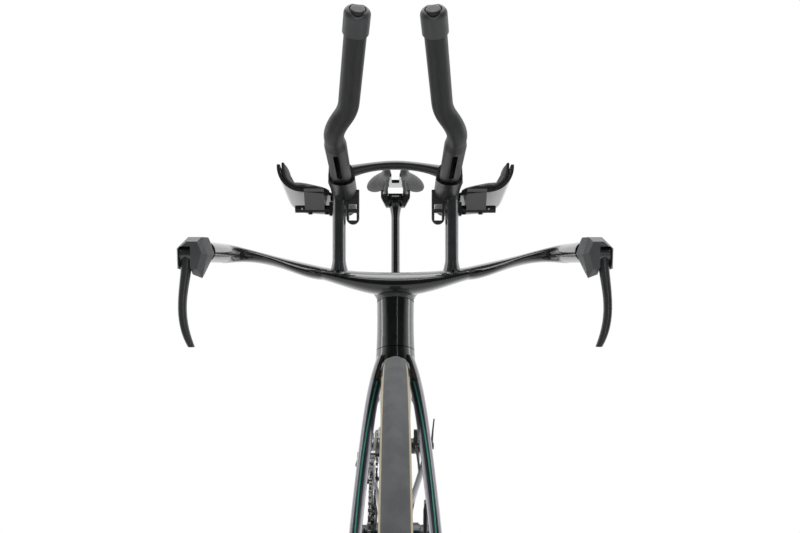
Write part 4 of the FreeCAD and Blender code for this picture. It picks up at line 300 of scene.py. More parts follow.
@dataclass(frozen=True)
class ShiftPaint(Finish):
    """Black paint that gives way to a pearl coat past a sharp line, teal ahead and mauve at the sides, with
    a painted highlight stripe down the front of each fork leg.
    """

    front: Colour = (0.008, 0.022, 0.024)
    # The next two colours are a painted highlight: a green stripe down each fork leg's front and its lighter
    # middle.
    painted_glint: Colour = (0.014, 0.150, 0.098)
    highlight_core: Colour = (0.130, 0.460, 0.340)
    side: Colour = (0.070, 0.057, 0.095)
    line: float = 0.635
    lean: float = 0.0
    offset: float = 0.0
    leg: Tuple[float, ...] = ()
    # Half widths of the painted highlight stripe and of its lighter core.
    highlight_half: float = 0.0019
    highlight_core_half: float = 0.0010
    blur: float = 0.0004
    flake_scale: float = 2600.0
    flake_share: float = 0.12
    pearl_metal: float = 0.4

    def past_line(self, graph: Graph, place: Wire) -> Wire:
        """Return 1 on the pearl side of the line z = line + lean * (y - offset)."""
        _, y, z = graph.parts(place)
        return (self.line + (y - self.offset) * self.lean - z).step(-self.blur, self.blur)

    def highlight_stripe(self, graph: Graph, place: Wire, half: float) -> Term:
        """Return 1 on a painted highlight stripe down the front of each leg, whose middle is a cubic in
        height.

        Args:
            graph: the material's graph.
            place: where a point lies.
            half: half the stripe's width.

        Returns:
            How much a point belongs to the painted highlight stripe.
        """
        if not self.leg:
            return 0.0
        x, _, z = graph.parts(place)
        _, along, _ = graph.parts(graph.place("Normal"))
        middle: Term = self.leg[0]
        for part in self.leg[1:]:
            middle = z * middle + part
        beside = abs(abs(x) - middle)
        # Painted highlight: near the leg's front line, only on points that face forward.
        return (1.0 - beside.step(half * 0.4, half)) * (0.0 - along).step(0.2, 0.6)

    def tint(self, graph: Graph, place: Wire) -> Any:
        """Return black above the line and, below it, a pearl colour set by which way the surface faces, with
        a green painted highlight and a lighter painted highlight core down each leg's front.
        """
        across, _, _ = graph.parts(graph.place("Normal"))
        flake = graph.noise(place, self.flake_scale, 1.0).step(0.35, 0.75)
        pearl = graph.mix(abs(across).step(0.30, 0.95), self.front, self.side)
        # Painted highlight: a green stripe, then a lighter core, painted into the pearl colour.
        pearl = graph.mix(self.highlight_stripe(graph, place, self.highlight_half), pearl, self.painted_glint)
        pearl = graph.mix(self.highlight_stripe(graph, place, self.highlight_core_half), pearl, self.highlight_core)
        lit = graph.mix(flake * self.flake_share, pearl, self.side)
        black = Finish.tint(self, graph, place)
        return graph.mix(self.past_line(graph, place), black, lit)

    def metallic(self, graph: Graph, place: Wire) -> Term:
        """Return a part metallic pearl below the line."""
        return self.past_line(graph, place) * self.pearl_metal


@dataclass(frozen=True)
class Laid(Finish):
    """Satin carbon laid up in fine strands along one direction."""

    stretch: Point = (900.0, 60.0, 60.0)

    def strands(self, graph: Graph, place: Wire) -> Wire:
        """Return streaks that run along the direction of the least stretch."""
        drawn = graph.node("ShaderNodeVectorMath", {"operation": "MULTIPLY"}, {0: place, 1: self.stretch})
        return graph.noise(drawn, 1.0, 3.0)

    def tint(self, graph: Graph, place: Wire) -> Any:
        """Return the colour with faint strands."""
        return self.clouded(graph, self.strands(graph, place))

    def height(self, graph: Graph, place: Wire) -> Wire:
        """Return the strands over the fine grain."""
        return graph.noise(place, self.grain_scale, 2.0) + self.strands(graph, place) * 0.5


@dataclass(frozen=True)
class Brushed(Finish):
    """Metal brushed in rings about an axle along X."""

    centre: Point = (0.0, 0.0, 0.0)
    rings: float = 2600.0

    def height(self, graph: Graph, place: Wire) -> Wire:
        """Return fine rings with broken strokes."""
        rings = graph.join(graph.axle_distance(place, self.centre) * self.rings, 0.0, 0.0)
        return graph.noise(rings, 1.0, 3.0) + graph.noise(place, self.grain_scale, 1.0) * 0.4


@dataclass(frozen=True)
class TyreRubber(Finish):
    """Grey tread over a tan sidewall, split at a set half width."""

    centre: Point = (0.0, 0.0, 0.0)
    wall: Colour = (0.50, 0.43, 0.29)
    tread_half: float = 0.0117
    tread_blur: float = 0.0003
    ragged_depth: float = 0.0006
    crown: float = 0.326
    weave_scale: float = 1400.0
    thread_scale: float = 4200.0
    thread_slant: float = 0.7

    def tread(self, graph: Graph, place: Wire) -> Wire:
        """Return 1 on the tread, with a slightly ragged edge."""
        x, _, _ = graph.parts(place)
        ragged = (graph.noise(place, 260.0, 2.0) - 0.5) * self.ragged_depth
        edge, blur = self.tread_half, self.tread_blur
        narrow = 1.0 - (abs(x) + ragged).step(edge - blur, edge + blur)
        return narrow * graph.axle_distance(place, self.centre).above(self.crown)

    def tint(self, graph: Graph, place: Wire) -> Any:
        """Return grey rubber on the tread and tan cloth on the wall, with a casing weave."""
        weave = graph.noise(place, self.weave_scale, 2.0).step(0.35, 0.65)
        wall = graph.mix(weave * 0.35, self.wall, scaled(self.wall, 0.6))
        return graph.mix(self.tread(graph, place), wall, Finish.tint(self, graph, place))

    def height(self, graph: Graph, place: Wire) -> Wire:
        """Return a fine file pattern of crossing threads."""
        x, y, _ = graph.parts(place)
        slanted = y * self.thread_slant
        threads = ((x + slanted) * self.thread_scale).sine() * ((x - slanted) * self.thread_scale).sine()
        return threads * 0.3 + graph.noise(place, self.grain_scale, 2.0)


@dataclass(frozen=True)
class Plated(Finish):
    """A dark clamp whose inboard tilt plate is left in pale satin metal."""

    plate: Colour = (0.060, 0.060, 0.064)
    inboard: float = 0.0639
    top: float = 0.872
    blur: float = 0.0001
    plate_metal: float = 0.6

    def on_plate(self, graph: Graph, place: Wire) -> Wire:
        """Return 1 on the plate, which lies inboard of the riser and under the sleeve."""
        x, _, z = graph.parts(place)
        outboard = abs(x).step(self.inboard - self.blur, self.inboard + self.blur)
        return (1.0 - outboard) * (1.0 - z.above(self.top))

    def tint(self, graph: Graph, place: Wire) -> Any:
        """Return the dark clamp with its pale plate."""
        return graph.mix(self.on_plate(graph, place), Finish.tint(self, graph, place), self.plate)

    def metallic(self, graph: Graph, place: Wire) -> Term:
        """Return a part metallic plate."""
        return self.on_plate(graph, place) * self.plate_metal


@dataclass(frozen=True)
class Foam(Finish):
    """Closed cell foam or suede with pits and a soft nap."""

    pit_scale: float = 1500.0

    def height(self, graph: Graph, place: Wire) -> Wire:
        """Return small open cells over a broad unevenness."""
        return graph.cells(place, self.pit_scale) + graph.noise(place, 120.0, 2.0) * 0.6


BLACK = shade(0.006, 0.25)
PAINT: Dict[str, Any] = {"coat": 1.0, "specular": 0.2, "cloud": 0.2, "uneven": 0.1, "grain_scale": 260.0,
                         "grain_depth": 0.00001, "slot": "frame_paint"}


class Gloss(Enum):
    """Finishes by the piece that wears them."""

    BAR_PAINT = Finish("gloss_black_paint", BLACK, 0.28, **PAINT)
    # The fork's paint carries a painted highlight stripe down each leg's front; leg gives the stripe's
    # middle as a cubic in height.
    FORK_PAINT = ShiftPaint("fork_shift_paint", BLACK, 0.30, leg=(-1.5478, 1.9669, -0.8903, 0.1908), **PAINT)
    FRAME_PAINT = ShiftPaint("frame_shift_paint", BLACK, 0.30, line=0.560, lean=1.4, offset=0.26, **PAINT)
    RISER = Finish("riser_satin", shade(0.024, 0.15), 0.30, coat=0.8, coat_rough=0.08, specular=0.3,
                   cloud=0.2, grain_scale=900.0)
    CARBON = Laid("matte_carbon", shade(0.013, 0.10), 0.44, specular=0.32, cloud=0.25, uneven=0.1)
    CLAMP = Finish("clamp_anodised", shade(0.014, 0.08), 0.34, coat=0.25, coat_rough=0.15, cloud=0.15,
                   specular=0.35, grain_scale=1600.0)
    TILT_CLAMP = Plated("tilt_clamp", shade(0.014, 0.08), 0.36, specular=0.35, cloud=0.15,
                        grain_scale=1600.0)
    COVER = Finish("headset_cover", shade(0.055, 0.05), 0.36, cloud=0.1, grain_scale=1600.0,
                   slot="frame_paint")
    CUP = Laid("cup_carbon", shade(0.020, 0.05), 0.22, coat=0.8, coat_rough=0.06, cloud=0.25)
    HOOD = Finish("hood_rubber", shade(0.056, 0.08), 0.40, cloud=0.1, grain_scale=1300.0,
                  grain_depth=0.00008, slot="grey_plastic")
    CAP = Finish("cap_rubber", shade(0.035, 0.08), 0.46, specular=0.45, cloud=0.1,
                 grain_scale=1200.0, grain_depth=0.00008, slot="grey_rubber")
    BUTTON = Finish("button_rubber", shade(0.024, 0.08), 0.46, specular=0.4, cloud=0.1,
                    grain_scale=1500.0, slot="grey_rubber")
    PLASTIC = Finish("black_plastic", shade(0.018, 0.05), 0.42, cloud=0.15, grain_scale=1500.0,
                     slot="black_plastic")
    ALLOY = Finish("dark_alloy", shade(0.075, 0.08), 0.32, metal=0.85, cloud=0.12, grain_scale=1700.0,
                   slot="dark_alloy")
    BLADE = Finish("lever_alloy", shade(0.040, 0.08), 0.30, metal=0.2, coat=0.7, coat_rough=0.1, cloud=0.12,
                   slot="dark_alloy")
    STEEL = Finish("bright_steel", shade(0.36, 0.02), 0.28, metal=1.0, cloud=0.1, grain_scale=1500.0,
                   slot="steel")
    CHAIN = Finish("chain_steel", shade(0.17, -0.03), 0.34, metal=1.0, cloud=0.25, cloud_scale=220.0,
                   slot="steel")
    BOLT = Finish("black_bolt_steel", shade(0.060, 0.05), 0.30, metal=0.9, cloud=0.15, grain_scale=1800.0,
                  slot="dark_alloy")
    RIM = Laid("rim_carbon", shade(0.022, 0.04), 0.36, coat=0.25, coat_rough=0.2, cloud=0.3,
               slot="rim_carbon", stretch=(500.0, 120.0, 120.0))
    HOSE = Finish("hose_rubber", shade(0.016, 0.0), 0.44, cloud=0.12, grain_scale=1400.0, slot="hose")
    PAD = Foam("pad_foam", shade(0.014, 0.03), 0.85, sheen=0.15, cloud=0.2, grain_depth=0.00012,
               slot="pad_foam")
    SADDLE = Foam("saddle_cover", shade(0.056, 0.05), 0.66, sheen=0.1, cloud=0.12, grain_depth=0.00006,
                  pit_scale=2200.0, slot="saddle_cover")


class Wardrobe:
    """Makes each finish once and puts it on CAD nodes and new pieces."""

    def __init__(self) -> None:
        """Start with no material made."""
        self.made: Dict[str, bpy.types.Material] = {}

    def material(self, finish: Finish) -> bpy.types.Material:
        """Return the finish's material, making it the first time."""
        if finish.name not in self.made:
            self.made[finish.name] = finish.build()
        return self.made[finish.name]

    def dress(self, piece: bpy.types.Object, finish: Finish) -> None:
        """Give a piece one finish.

        Args:
            piece: a CAD node's object or a new piece.
            finish: the finish that it wears.
        """
        piece.data.materials.clear()
        piece.data.materials.append(self.material(finish))

    def dress_nodes(self, finish: Finish, *names: str) -> None:
        """Give CAD nodes a finish.

        Args:
            finish: the finish.
            names: the nodes.
        """
        for name in names:
            self.dress(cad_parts[name], finish)
            LOG.info("dressed %s in %s", name, finish.name)


WARDROBE = Wardrobe()


def grid_faces(rows: int, columns: int, closed: bool) -> np.ndarray:
    """Return the quads of a grid of points stored row by row.

    Args:
        rows: points along the first parameter.
        columns: points along the second parameter.
        closed: whether the last column meets the first.

    Returns:
        An array of four corner numbers a face.
    """
    last = columns if closed else columns - 1
    first, second = np.meshgrid(np.arange(rows - 1), np.arange(last), indexing="ij")
    after = (second + 1) % columns
    quads = (first * columns + second, first * columns + after,
             (first + 1) * columns + after, (first + 1) * columns + second)
    return np.stack([quad.ravel() for quad in quads], axis=1)


@dataclass
class Surface:
    """Points and faces that are gathered before they become one piece."""

    points: List[np.ndarray] = field(default_factory=list)
    faces: List[Tuple[int, ...]] = field(default_factory=list)
    count: int = 0

    def add(self, points: np.ndarray, faces: Iterable[Sequence[int]]) -> None:
        """Add one patch.

        Args:
            points: an array of places.
            faces: corner numbers within the patch.
        """
        self.points.append(points)
        self.faces.extend(tuple(int(corner) + self.count for corner in face) for face in faces)
        self.count += len(points)

    def piece(self, name: str, body: str, finish: Finish, smooth: bool = True) -> bpy.types.Object:
        """Make the piece and put it on a body.

        Args:
            name: the piece's name.
            body: the CAD body that it rides on.
            finish: its finish.
            smooth: whether its faces shade smoothly.

        Returns:
            The new object.
        """
        mesh = bpy.data.meshes.new(name)
        mesh.from_pydata(np.concatenate(self.points).tolist(), [], self.faces)
        shaper = bmesh.new()
        shaper.from_mesh(mesh)
        bmesh.ops.remove_doubles(shaper, verts=shaper.verts, dist=1e-6)
        bmesh.ops.recalc_face_normals(shaper, faces=shaper.faces)
        shaper.to_mesh(mesh)
        shaper.free()
        mesh.polygons.foreach_set("use_smooth", np.full(len(mesh.polygons), smooth))
        made = bpy.data.objects.new(name, mesh)
        bpy.context.scene.collection.objects.link(made)
        WARDROBE.dress(made, finish)
        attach(made, body)
        LOG.info("made %s on %s", name, body)
        return made


def basis(axis: Point) -> Tuple[np.ndarray, np.ndarray, np.ndarray]:
    """Return three unit vectors, the last along the axis.

    Args:
        axis: any direction.

    Returns:
        Two vectors across the axis, and the axis.
    """
    along = np.array(axis, float)
    along = along / np.linalg.norm(along)
    helper = np.array((1.0, 0.0, 0.0)) if abs(along[0]) < 0.8 else np.array((0.0, 1.0, 0.0))
    side = np.cross(helper, along)
    side = side / np.linalg.norm(side)
    return side, np.cross(along, side), along


def circle(axis: Point, columns: int) -> Tuple[np.ndarray, np.ndarray, np.ndarray]:
    """Return a unit circle about an axis.

    Args:
        axis: the axis's direction.
        columns: points round the axis.

    Returns:
        The angles, the points and the axis's unit vector.
    """
    side, other, along = basis(axis)
    angle = np.linspace(0.0, 2.0 * np.pi, columns, endpoint=False)
    return angle, np.cos(angle)[:, None] * side + np.sin(angle)[:, None] * other, along


def stack(surface: Surface, centre: Point, rows: Sequence[np.ndarray]) -> None:
    """Add a solid whose rings of points lie one over the other, closed at both ends.

    Args:
        surface: where the patch is added.
        centre: what the rings are measured from.
        rows: the rings, each with as many points.
    """
    columns = len(rows[0])
    faces = [tuple(face) for face in grid_faces(len(rows), columns, True)]
    foot = tuple(range(columns))[::-1]
    top = tuple(range((len(rows) - 1) * columns, len(rows) * columns))
    surface.add(np.array(centre) + np.concatenate(rows), [*faces, foot, top])


def turned(surface: Surface, centre: Point, axis: Point, profile: Profile, columns: int) -> None:
    """Add a turned solid: each profile point goes round the axis at its radius and height.

    Args:
        surface: where the patch is added.
        centre: the foot of the axis.
        axis: its direction.
        profile: pairs of radius and height, from the foot to the top.
        columns: points round the axis.
    """
    _, ring, along = circle(axis, columns)
    stack(surface, centre, [radius * ring + height * along for radius, height in profile])


def socket_bolt(surface: Surface, centre: Point, axis: Point, head: Tuple[float, float]) -> None:
    """Add a bolt head: a turned cap with a rounded shoulder and a six sided socket.

    The socket's radius at angle a is the apothem over the cosine of a folded into one sixth of a turn.

    Args:
        surface: where the patch is added.
        centre: the foot of the head, a little inside what carries it.
        axis: the way that the head faces.
        head: its radius, and its height over its foot.
    """
    radius, height = head
    angle, ring, along = circle(axis, 36)
    sixth = np.pi / 3
    folded = np.mod(angle + sixth / 2, sixth) - sixth / 2
    socket = 0.5 * radius * np.cos(sixth / 2) / np.cos(folded)
    shoulder = ((1.0, 0.0), (1.0, 0.78), (0.97, 0.9), (0.88, 1.0))
    rows = [size * radius * ring + level * height * along for size, level in shoulder]
    rows += [socket[:, None] * ring + level * height * along for level in (1.0, 0.35)]
    stack(surface, centre, rows)


def read(mesh: bpy.types.Mesh, name: str) -> np.ndarray:
    """Return the places or normals of a mesh's points, one row a point.

    Args:
        mesh: the mesh.
        name: co or normal.

    Returns:
        An array of three columns.
    """
    values = np.empty(len(mesh.vertices) * 3)
    mesh.vertices.foreach_get(name, values)
    return values.reshape(-1, 3)


@dataclass(frozen=True)
class Padding:
    """Foam pieces that swell from a copy of their CAD solids.

    The copy is drawn in by the shrink first. Its seat may swell back by as much, and its top by the crown.
    """

    voxel: float
    crown: float
    shrink: float = 0.0008
    pressure: float = 4.0
    frames: int = 20
    weld: float = 1e-5

    def remeshed(self, node: str, name: str) -> bpy.types.Object:
        """Return a voxel copy of a node's solids.

        Args:
            node: the CAD node.
            name: the new object's name.

        Returns:
            The new object, drawn in a little.
        """
        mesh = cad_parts[node].data.copy()
        shaper = bmesh.new()
        shaper.from_mesh(mesh)
        bmesh.ops.remove_doubles(shaper, verts=shaper.verts, dist=self.weld)
        shaper.to_mesh(mesh)
        shaper.free()
        made = bpy.data.objects.new(name, mesh)
        bpy.context.scene.collection.objects.link(made)
        remesh = made.modifiers.new("voxels", "REMESH")
        remesh.mode = "VOXEL"
        remesh.voxel_size = self.voxel
        self.settle(made)
        self.move(made, read(made.data, "co") - self.shrink * read(made.data, "normal"))
        return made

    @staticmethod
    def move(piece: bpy.types.Object, places: np.ndarray) -> None:
        """Put a piece's points at new places."""
        piece.data.vertices.foreach_set("co", places.ravel())
        piece.data.update()

    @staticmethod
    def settle(piece: bpy.types.Object) -> None:
        """Apply a piece's modifiers to its mesh."""
        graph = bpy.context.evaluated_depsgraph_get()
        mesh = bpy.data.meshes.new_from_object(piece.evaluated_get(graph))
        piece.modifiers.clear()
        piece.data = mesh

    def swell(self, piece: bpy.types.Object) -> None:
        """Blow the piece up as cloth, then hold its seat to the CAD solid and its top to the crown.

        Args:
            piece: the remeshed piece.
        """
        before = read(piece.data, "co")
        upward = np.clip(read(piece.data, "normal")[:, 2:], 0.0, 1.0)
        cap = self.shrink + (self.crown - self.shrink) * upward
        cloth = piece.modifiers.new("swelling", "CLOTH")
        cloth.settings.use_pressure = True
        cloth.settings.uniform_pressure_force = self.pressure
        cloth.settings.effector_weights.gravity = 0.0
        cloth.point_cache.frame_start = 1
        cloth.point_cache.frame_end = self.frames
        for step in range(1, self.frames + 1):
            bpy.context.scene.frame_set(step)
        self.settle(piece)
        bpy.context.scene.frame_set(1)
        moved = read(piece.data, "co") - before
        length = np.linalg.norm(moved, axis=1, keepdims=True)
        self.move(piece, before + moved * np.minimum(1.0, cap / np.maximum(length, 1e-9)))

    def make(self, node: str, name: str, body: str, finish: Finish, fill: float) -> bpy.types.Object:
        """Make the padded piece that stands for a CAD node.

        Args:
            node: the CAD node.
            name: the piece's name.
            body: the body that it rides on.
            finish: its finish.
            fill: how tight it is, from 0 to 1; not used.

        Returns:
            The new piece.
        """
        piece = self.remeshed(node, name)
        self.swell(piece)
        piece.data.polygons.foreach_set("use_smooth", np.full(len(piece.data.polygons), True))
        finer = piece.modifiers.new("finer", "SUBSURF")
        finer.levels = 1
        finer.render_levels = 1
        WARDROBE.dress(piece, finish)
        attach(piece, body)
        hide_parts(node)
        LOG.info("padded %s for %s", name, node)
        return piece


@dataclass
class FrameSet:
    """The frame, fork, seatpost and saddle."""

    padding: Padding = Padding(voxel=0.0035, crown=0.0030)
    fill: float = 0.8

    def dress(self) -> None:
        """Give the frame set's nodes their finishes."""
        WARDROBE.dress_nodes(Gloss.FRAME_PAINT.value, "frame")
        WARDROBE.dress_nodes(Gloss.FORK_PAINT.value, "fork")
        WARDROBE.dress_nodes(Gloss.BAR_PAINT.value, "seatpost", "saddle_shell")
        WARDROBE.dress_nodes(Gloss.CLAMP.value, "saddle_clamp", "seatpost_wedge", "bottom_bracket_cups")
        WARDROBE.dress_nodes(Gloss.ALLOY.value, "saddle_rails", "front_thru_axle", "rear_thru_axle",
                             "rear_axle_lever")
        WARDROBE.dress_nodes(Gloss.STEEL.value, "headset_bearings")

    def pad(self) -> None:
        """Make the two saddle lobes."""
        self.padding.make("saddle_padding", "saddle_lobes", "saddle_body", Gloss.SADDLE.value, self.fill)


@dataclass
class Cockpit:
    """The base bar, risers, clamps, arm rests, extensions and brake levers."""

    padding: Padding = Padding(voxel=0.0028, crown=0.0060)
    fill: float = 0.7
    clamp_rise: float = math.radians(15.0)
    pinch_place: Point = (0.0595, -0.3525, 0.8945)
    pinch_reaches: Tuple[float, float] = (-0.012, 0.008)
    pinch_head: Tuple[float, float] = (0.0034, 0.0058)
    foot_place: Point = (0.073, -0.3482, 0.7690)
    foot_axis: Point = (0.0, -1.0, 0.25)
    foot_head: Tuple[float, float] = (0.0029, 0.0030)
    rest_place: Point = (0.103, -0.3000, 0.8481)
    rest_shifts: Tuple[float, float] = (-0.011, 0.011)
    rest_head: Tuple[float, float] = (0.0030, 0.0034)

    def dress(self) -> None:
        """Give the cockpit's nodes their finishes."""
        WARDROBE.dress_nodes(Gloss.BAR_PAINT.value, "base_bar")
        WARDROBE.dress_nodes(Gloss.RISER.value, "riser_posts")
        WARDROBE.dress_nodes(Gloss.COVER.value, "headset_caps")
        WARDROBE.dress_nodes(Gloss.TILT_CLAMP.value, "extension_clamps")
        WARDROBE.dress_nodes(Gloss.CLAMP.value, "bridge")
        WARDROBE.dress_nodes(Gloss.CUP.value, "arm_cups")
        WARDROBE.dress_nodes(Gloss.CARBON.value, "extension_left", "extension_right")
        WARDROBE.dress_nodes(Gloss.CAP.value, "shifter_left", "shifter_right")
        WARDROBE.dress_nodes(Gloss.BUTTON.value, "shift_button_left", "shift_button_right")
        WARDROBE.dress_nodes(Gloss.HOOD.value, "brake_lever_bodies")
        WARDROBE.dress_nodes(Gloss.BLADE.value, "brake_lever_left", "brake_lever_right")

    def fit(self) -> None:
        """Make the bolts of the clamps, the risers' feet and the arm rests."""
        pinch, feet, rests = Surface(), Surface(), Surface()
        ahead, rise = -math.cos(self.clamp_rise), math.sin(self.clamp_rise)
        for side in (1.0, -1.0):
            x, y, z = self.pinch_place
            for reach in self.pinch_reaches:
                spot = (side * x, y + ahead * reach, z + rise * reach)
                socket_bolt(pinch, spot, (-side, 0.0, 0.0), self.pinch_head)
            x, y, z = self.foot_place
            socket_bolt(feet, (side * x, y, z), self.foot_axis, self.foot_head)
            x, y, z = self.rest_place
            for shift in self.rest_shifts:
                socket_bolt(rests, (side * (x + shift), y, z), (0.0, 0.0, -1.0), self.rest_head)
        pinch.piece("clamp_pinch_bolts", "steering_body", Gloss.BOLT.value, False)
        feet.piece("riser_foot_bolts", "steering_body", Gloss.BOLT.value, False)
        rests.piece("arm_rest_bolts", "steering_body", Gloss.BOLT.value, False)

    def pad(self) -> None:
        """Make the two arm pads."""
        self.padding.make("arm_pads", "arm_rest_pads", "steering_body", Gloss.PAD.value, self.fill)


@dataclass
class Wheels:
    """Two wheels with their tyres, rims, spokes, hubs and rotors."""

    names: Tuple[str, str] = ("front", "rear")
    spokes: Tuple[int, int] = (20, 24)
    rim_floor: float = 0.2615
    sink: float = 0.0008
    nipple: Profile = ((0.0023, 0.0), (0.0023, 0.0030), (0.0017, 0.0042), (0.0016, 0.0095), (0.0013, 0.0100))
    nipple_columns: int = 12
    valve_reach: float = 0.047
    valve_columns: int = 28

    def valve(self) -> Profile:
        """Return the outline of a valve: its nut at the rim, its stem and its cap."""
        stem, cap = self.valve_reach * 0.6, self.valve_reach
        return ((0.0044, 0.0), (0.0044, 0.0042), (0.0040, 0.0046), (0.0028, 0.0046), (0.0028, stem),
                (0.0034, stem + 0.0006), (0.0036, cap * 0.9), (0.0026, cap * 0.98), (0.0010, cap))

    def plant(self, surface: Surface, centre: Point, angle: float, profile: Profile, columns: int) -> None:
        """Add a turned fitting that stands on the rim and points at the axle.

        Args:
            surface: where the fitting is added.
            centre: the middle of the wheel.
            angle: where it stands on the rim.
            profile: its outline.
            columns: points round it.
        """
        radius = self.rim_floor + self.sink
        across, up = math.cos(angle), math.sin(angle)
        foot = (0.0, centre[1] + radius * across, centre[2] + radius * up)
        turned(surface, foot, (0.0, -across, -up), profile, columns)

    def fit(self) -> None:
        """Make a nipple at the end of each spoke, and a valve with its nut and cap between two spokes."""
        for name, count in zip(self.names, self.spokes):
            centre = self.axle(name)
            ends, stem = Surface(), Surface()
            step = 2.0 * math.pi / count
            for index in range(count):
                self.plant(ends, centre, index * step, self.nipple, self.nipple_columns)
            self.plant(stem, centre, (count // 2 + 0.5) * step, self.valve(), self.valve_columns)
            ends.piece(f"{name}_spoke_nipples", f"{name}_wheel", Gloss.ALLOY.value)
            stem.piece(f"{name}_valve", f"{name}_wheel", Gloss.PLASTIC.value)

    @staticmethod
    def axle(name: str) -> Point:
        """Return the middle of a wheel from its tyre's box."""
        low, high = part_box(f"{name}_tyre")
        return (0.0, (low.y + high.y) / 2, (low.z + high.z) / 2)

    def dress(self) -> None:
        """Give both wheels their finishes."""
        for name in self.names:
            centre = self.axle(name)
            tyre = TyreRubber(f"{name}_tyre_rubber", shade(0.082, 0.08), 0.72, cloud=0.12, cloud_scale=60.0,
                              grain_depth=0.0001, slot="tyre", centre=centre)
            rotor = Brushed(f"{name}_rotor_steel", shade(0.48, 0.02), 0.28, metal=1.0, slot="steel",
                            centre=centre)
            WARDROBE.dress_nodes(tyre, f"{name}_tyre")
            WARDROBE.dress_nodes(rotor, f"{name}_rotor")
            WARDROBE.dress_nodes(Gloss.RIM.value, f"{name}_rim")
            WARDROBE.dress_nodes(Gloss.ALLOY.value, f"{name}_hub", f"{name}_spokes")


@dataclass
class Brakes:
    """Calipers, their pads and hoses."""

    def dress(self) -> None:
        """Give the brakes their finishes."""
        WARDROBE.dress_nodes(Gloss.PLASTIC.value, "front_brake_caliper", "rear_brake_caliper")
        WARDROBE.dress_nodes(Gloss.HOSE.value, "front_brake_hose", "rear_brake_hose")
        WARDROBE.dress_nodes(Gloss.STEEL.value, "front_pad_inner", "front_pad_outer", "rear_pad_inner",
                             "rear_pad_outer")


@dataclass
class Drivetrain:
    """Cranks, chainrings, chain, sprockets and derailleurs."""

    def dress(self) -> None:
        """Give the drivetrain its finishes."""
        WARDROBE.dress_nodes(Gloss.CHAIN.value, "chain")
        WARDROBE.dress_nodes(Gloss.STEEL.value, "cassette", "front_derailleur_cage")
        WARDROBE.dress_nodes(Gloss.ALLOY.value, "chainrings", "crank_arm_left", "crank_arm_right",
                             "rear_derailleur_link", "rear_derailleur_mount", "rear_derailleur_cage")
        WARDROBE.dress_nodes(Gloss.PLASTIC.value, "rear_derailleur_motor", "front_derailleur_body",
                             "guide_pulley", "tension_pulley")


@dataclass(frozen=True)
class Lamp:
    """A soft rectangular lamp that faces the bike."""

    name: str
    place: Point
    size: Tuple[float, float]
    power: float
    target: Point = (0.0, -0.2, 0.6)

    def hang(self) -> None:
        """Add the lamp to the scene."""
        light = bpy.data.lights.new(self.name, "AREA")
        light.shape = "RECTANGLE"
        light.size, light.size_y = self.size
        light.energy = self.power
        made = bpy.data.objects.new(self.name, light)
        made.location = self.place
        aim = Vector(self.target) - Vector(self.place)
        made.rotation_euler = aim.to_track_quat("-Z", "Y").to_euler()
        bpy.context.scene.collection.objects.link(made)


class Lighting(Enum):
    """An overhead box, a strip either side and a thin strip ahead for the head tube's highlight."""

    OVERHEAD = Lamp("overhead_box", (0.0, 0.2, 3.0), (2.6, 2.6), 55.0)
    LEFT = Lamp("left_strip", (2.4, 0.9, 1.4), (0.5, 2.4), 9.0)
    RIGHT = Lamp("right_strip", (-2.4, 0.9, 1.4), (0.5, 2.4), 9.0)
    FRONT = Lamp("front_strip", (0.75, -2.60, 2.2), (0.10, 2.2), 3.2)


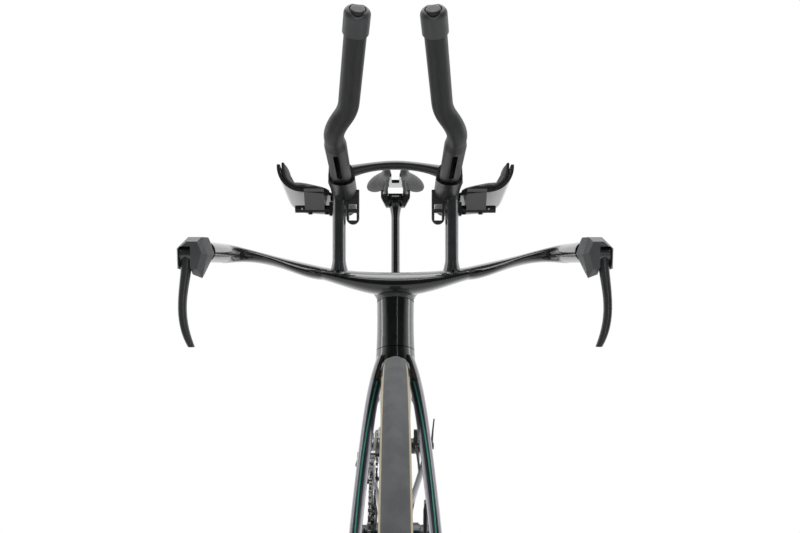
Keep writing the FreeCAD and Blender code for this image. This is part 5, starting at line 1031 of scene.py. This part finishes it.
@dataclass
class Studio:
    """A pale floor, soft lamps, a white surround and the photograph's camera.

    Glossy rays that go ahead of the bike meet a dimmer surround, so black paint stays black from the front.
    """

    sensor: float = 36.0
    focal: float = 32.625
    near_clip: float = 0.02
    camera_place: Point = (0.0, -1.2725, 0.775)
    camera_yaw: float = -0.356
    floor_half: float = 14.0
    floor_rows: int = 9
    floor_drop: float = 0.0006
    floor_level: float = 0.92
    near_floor: float = 0.55
    near_radius: float = 0.75
    far_radius: float = 1.7
    mirrored_floor: float = 0.5
    mirror_fade: float = 0.9
    surround: float = 0.62
    dim_front: float = 0.03

    def world(self) -> None:
        """Light softly from all sides, and show white to camera, glossy and clear rays."""
        made = bpy.data.worlds.new("studio_world")
        made.use_nodes = True
        bpy.context.scene.world = made
        graph = Graph(made.node_tree)
        direct, clear, mirrored = graph.rays("Is Camera Ray", "Is Transmission Ray", "Is Glossy Ray")
        seen = direct + clear
        _, y, _ = graph.parts(graph.place("Generated"))
        ahead = (0.0 - y).step(-0.35, 0.45)
        mirror_level = 1.0 - ahead * (1.0 - self.dim_front)
        plain = 1.0 - (seen + mirrored).least(1.0)
        strength = seen.least(1.0) + mirrored * mirror_level + plain * self.surround
        light = graph.node("ShaderNodeBackground", sockets={"Color": rgba(WHITE), "Strength": strength})
        graph.node("ShaderNodeOutputWorld", sockets={"Surface": light})

    def paper(self) -> bpy.types.Material:
        """Return the floor's material, which turns white to the camera away from the bike.

        Returns:
            A new node material.
        """
        material = bpy.data.materials.new("pale_floor")
        material.use_nodes = True
        graph = Graph(material.node_tree)
        direct, mirrored = graph.rays("Is Camera Ray", "Is Glossy Ray")
        x, y, _ = graph.parts(graph.place())
        far = (x * x + y * y).root().step(self.near_radius, self.far_radius)
        seen = direct * (self.near_floor + far * (1.0 - self.near_floor))
        behind = y.step(-self.mirror_fade, self.mirror_fade)
        white = (seen + mirrored * behind * self.mirrored_floor).least(1.0)
        matte = graph.node("ShaderNodeBsdfDiffuse", sockets={"Color": rgba(shade(self.floor_level))})
        glow = graph.node("ShaderNodeEmission", sockets={"Color": rgba(WHITE), "Strength": 1.0})
        blend = graph.node("ShaderNodeMixShader", sockets={0: white, 1: matte, 2: glow})
        graph.node("ShaderNodeOutputMaterial", sockets={"Surface": blend})
        return material

    def floor(self) -> None:
        """Lay a pale floor that keeps the bike's shadow."""
        spread = np.linspace(-self.floor_half, self.floor_half, self.floor_rows)
        across, along = np.meshgrid(spread, spread, indexing="ij")
        level = np.full_like(across, -self.floor_drop)
        points = np.stack([across, along, level], axis=-1).reshape(-1, 3)
        mesh = bpy.data.meshes.new("studio_floor")
        faces = grid_faces(self.floor_rows, self.floor_rows, False)[:, ::-1]
        mesh.from_pydata(points.tolist(), [], faces.tolist())
        mesh.materials.append(self.paper())
        made = bpy.data.objects.new("studio_floor", mesh)
        bpy.context.scene.collection.objects.link(made)

    def camera(self) -> None:
        """Set the camera level in front of the bike."""
        lens = bpy.data.cameras.new("photo_camera")
        lens.sensor_width = self.sensor
        lens.lens = self.focal
        lens.clip_start = self.near_clip
        made = bpy.data.objects.new("photo_camera", lens)
        made.location = self.camera_place
        made.rotation_euler = (math.radians(90.0), 0.0, math.radians(self.camera_yaw))
        bpy.context.scene.collection.objects.link(made)
        bpy.context.scene.camera = made

    def build(self) -> None:
        """Set up the whole studio."""
        self.world()
        self.floor()
        for lamp in Lighting:
            lamp.value.hang()
        self.camera()
        bpy.context.scene.view_settings.view_transform = "Standard"


def main() -> None:
    """Build every sub-assembly in order and report each piece."""
    logging.basicConfig(level=logging.INFO, format="%(message)s")
    Studio().build()
    for assembly in (FrameSet(), Cockpit(), Wheels(), Brakes(), Drivetrain()):
        assembly.dress()
    Cockpit().fit()
    Wheels().fit()
    FrameSet().pad()
    Cockpit().pad()


if __name__ == "__main__":
    main()
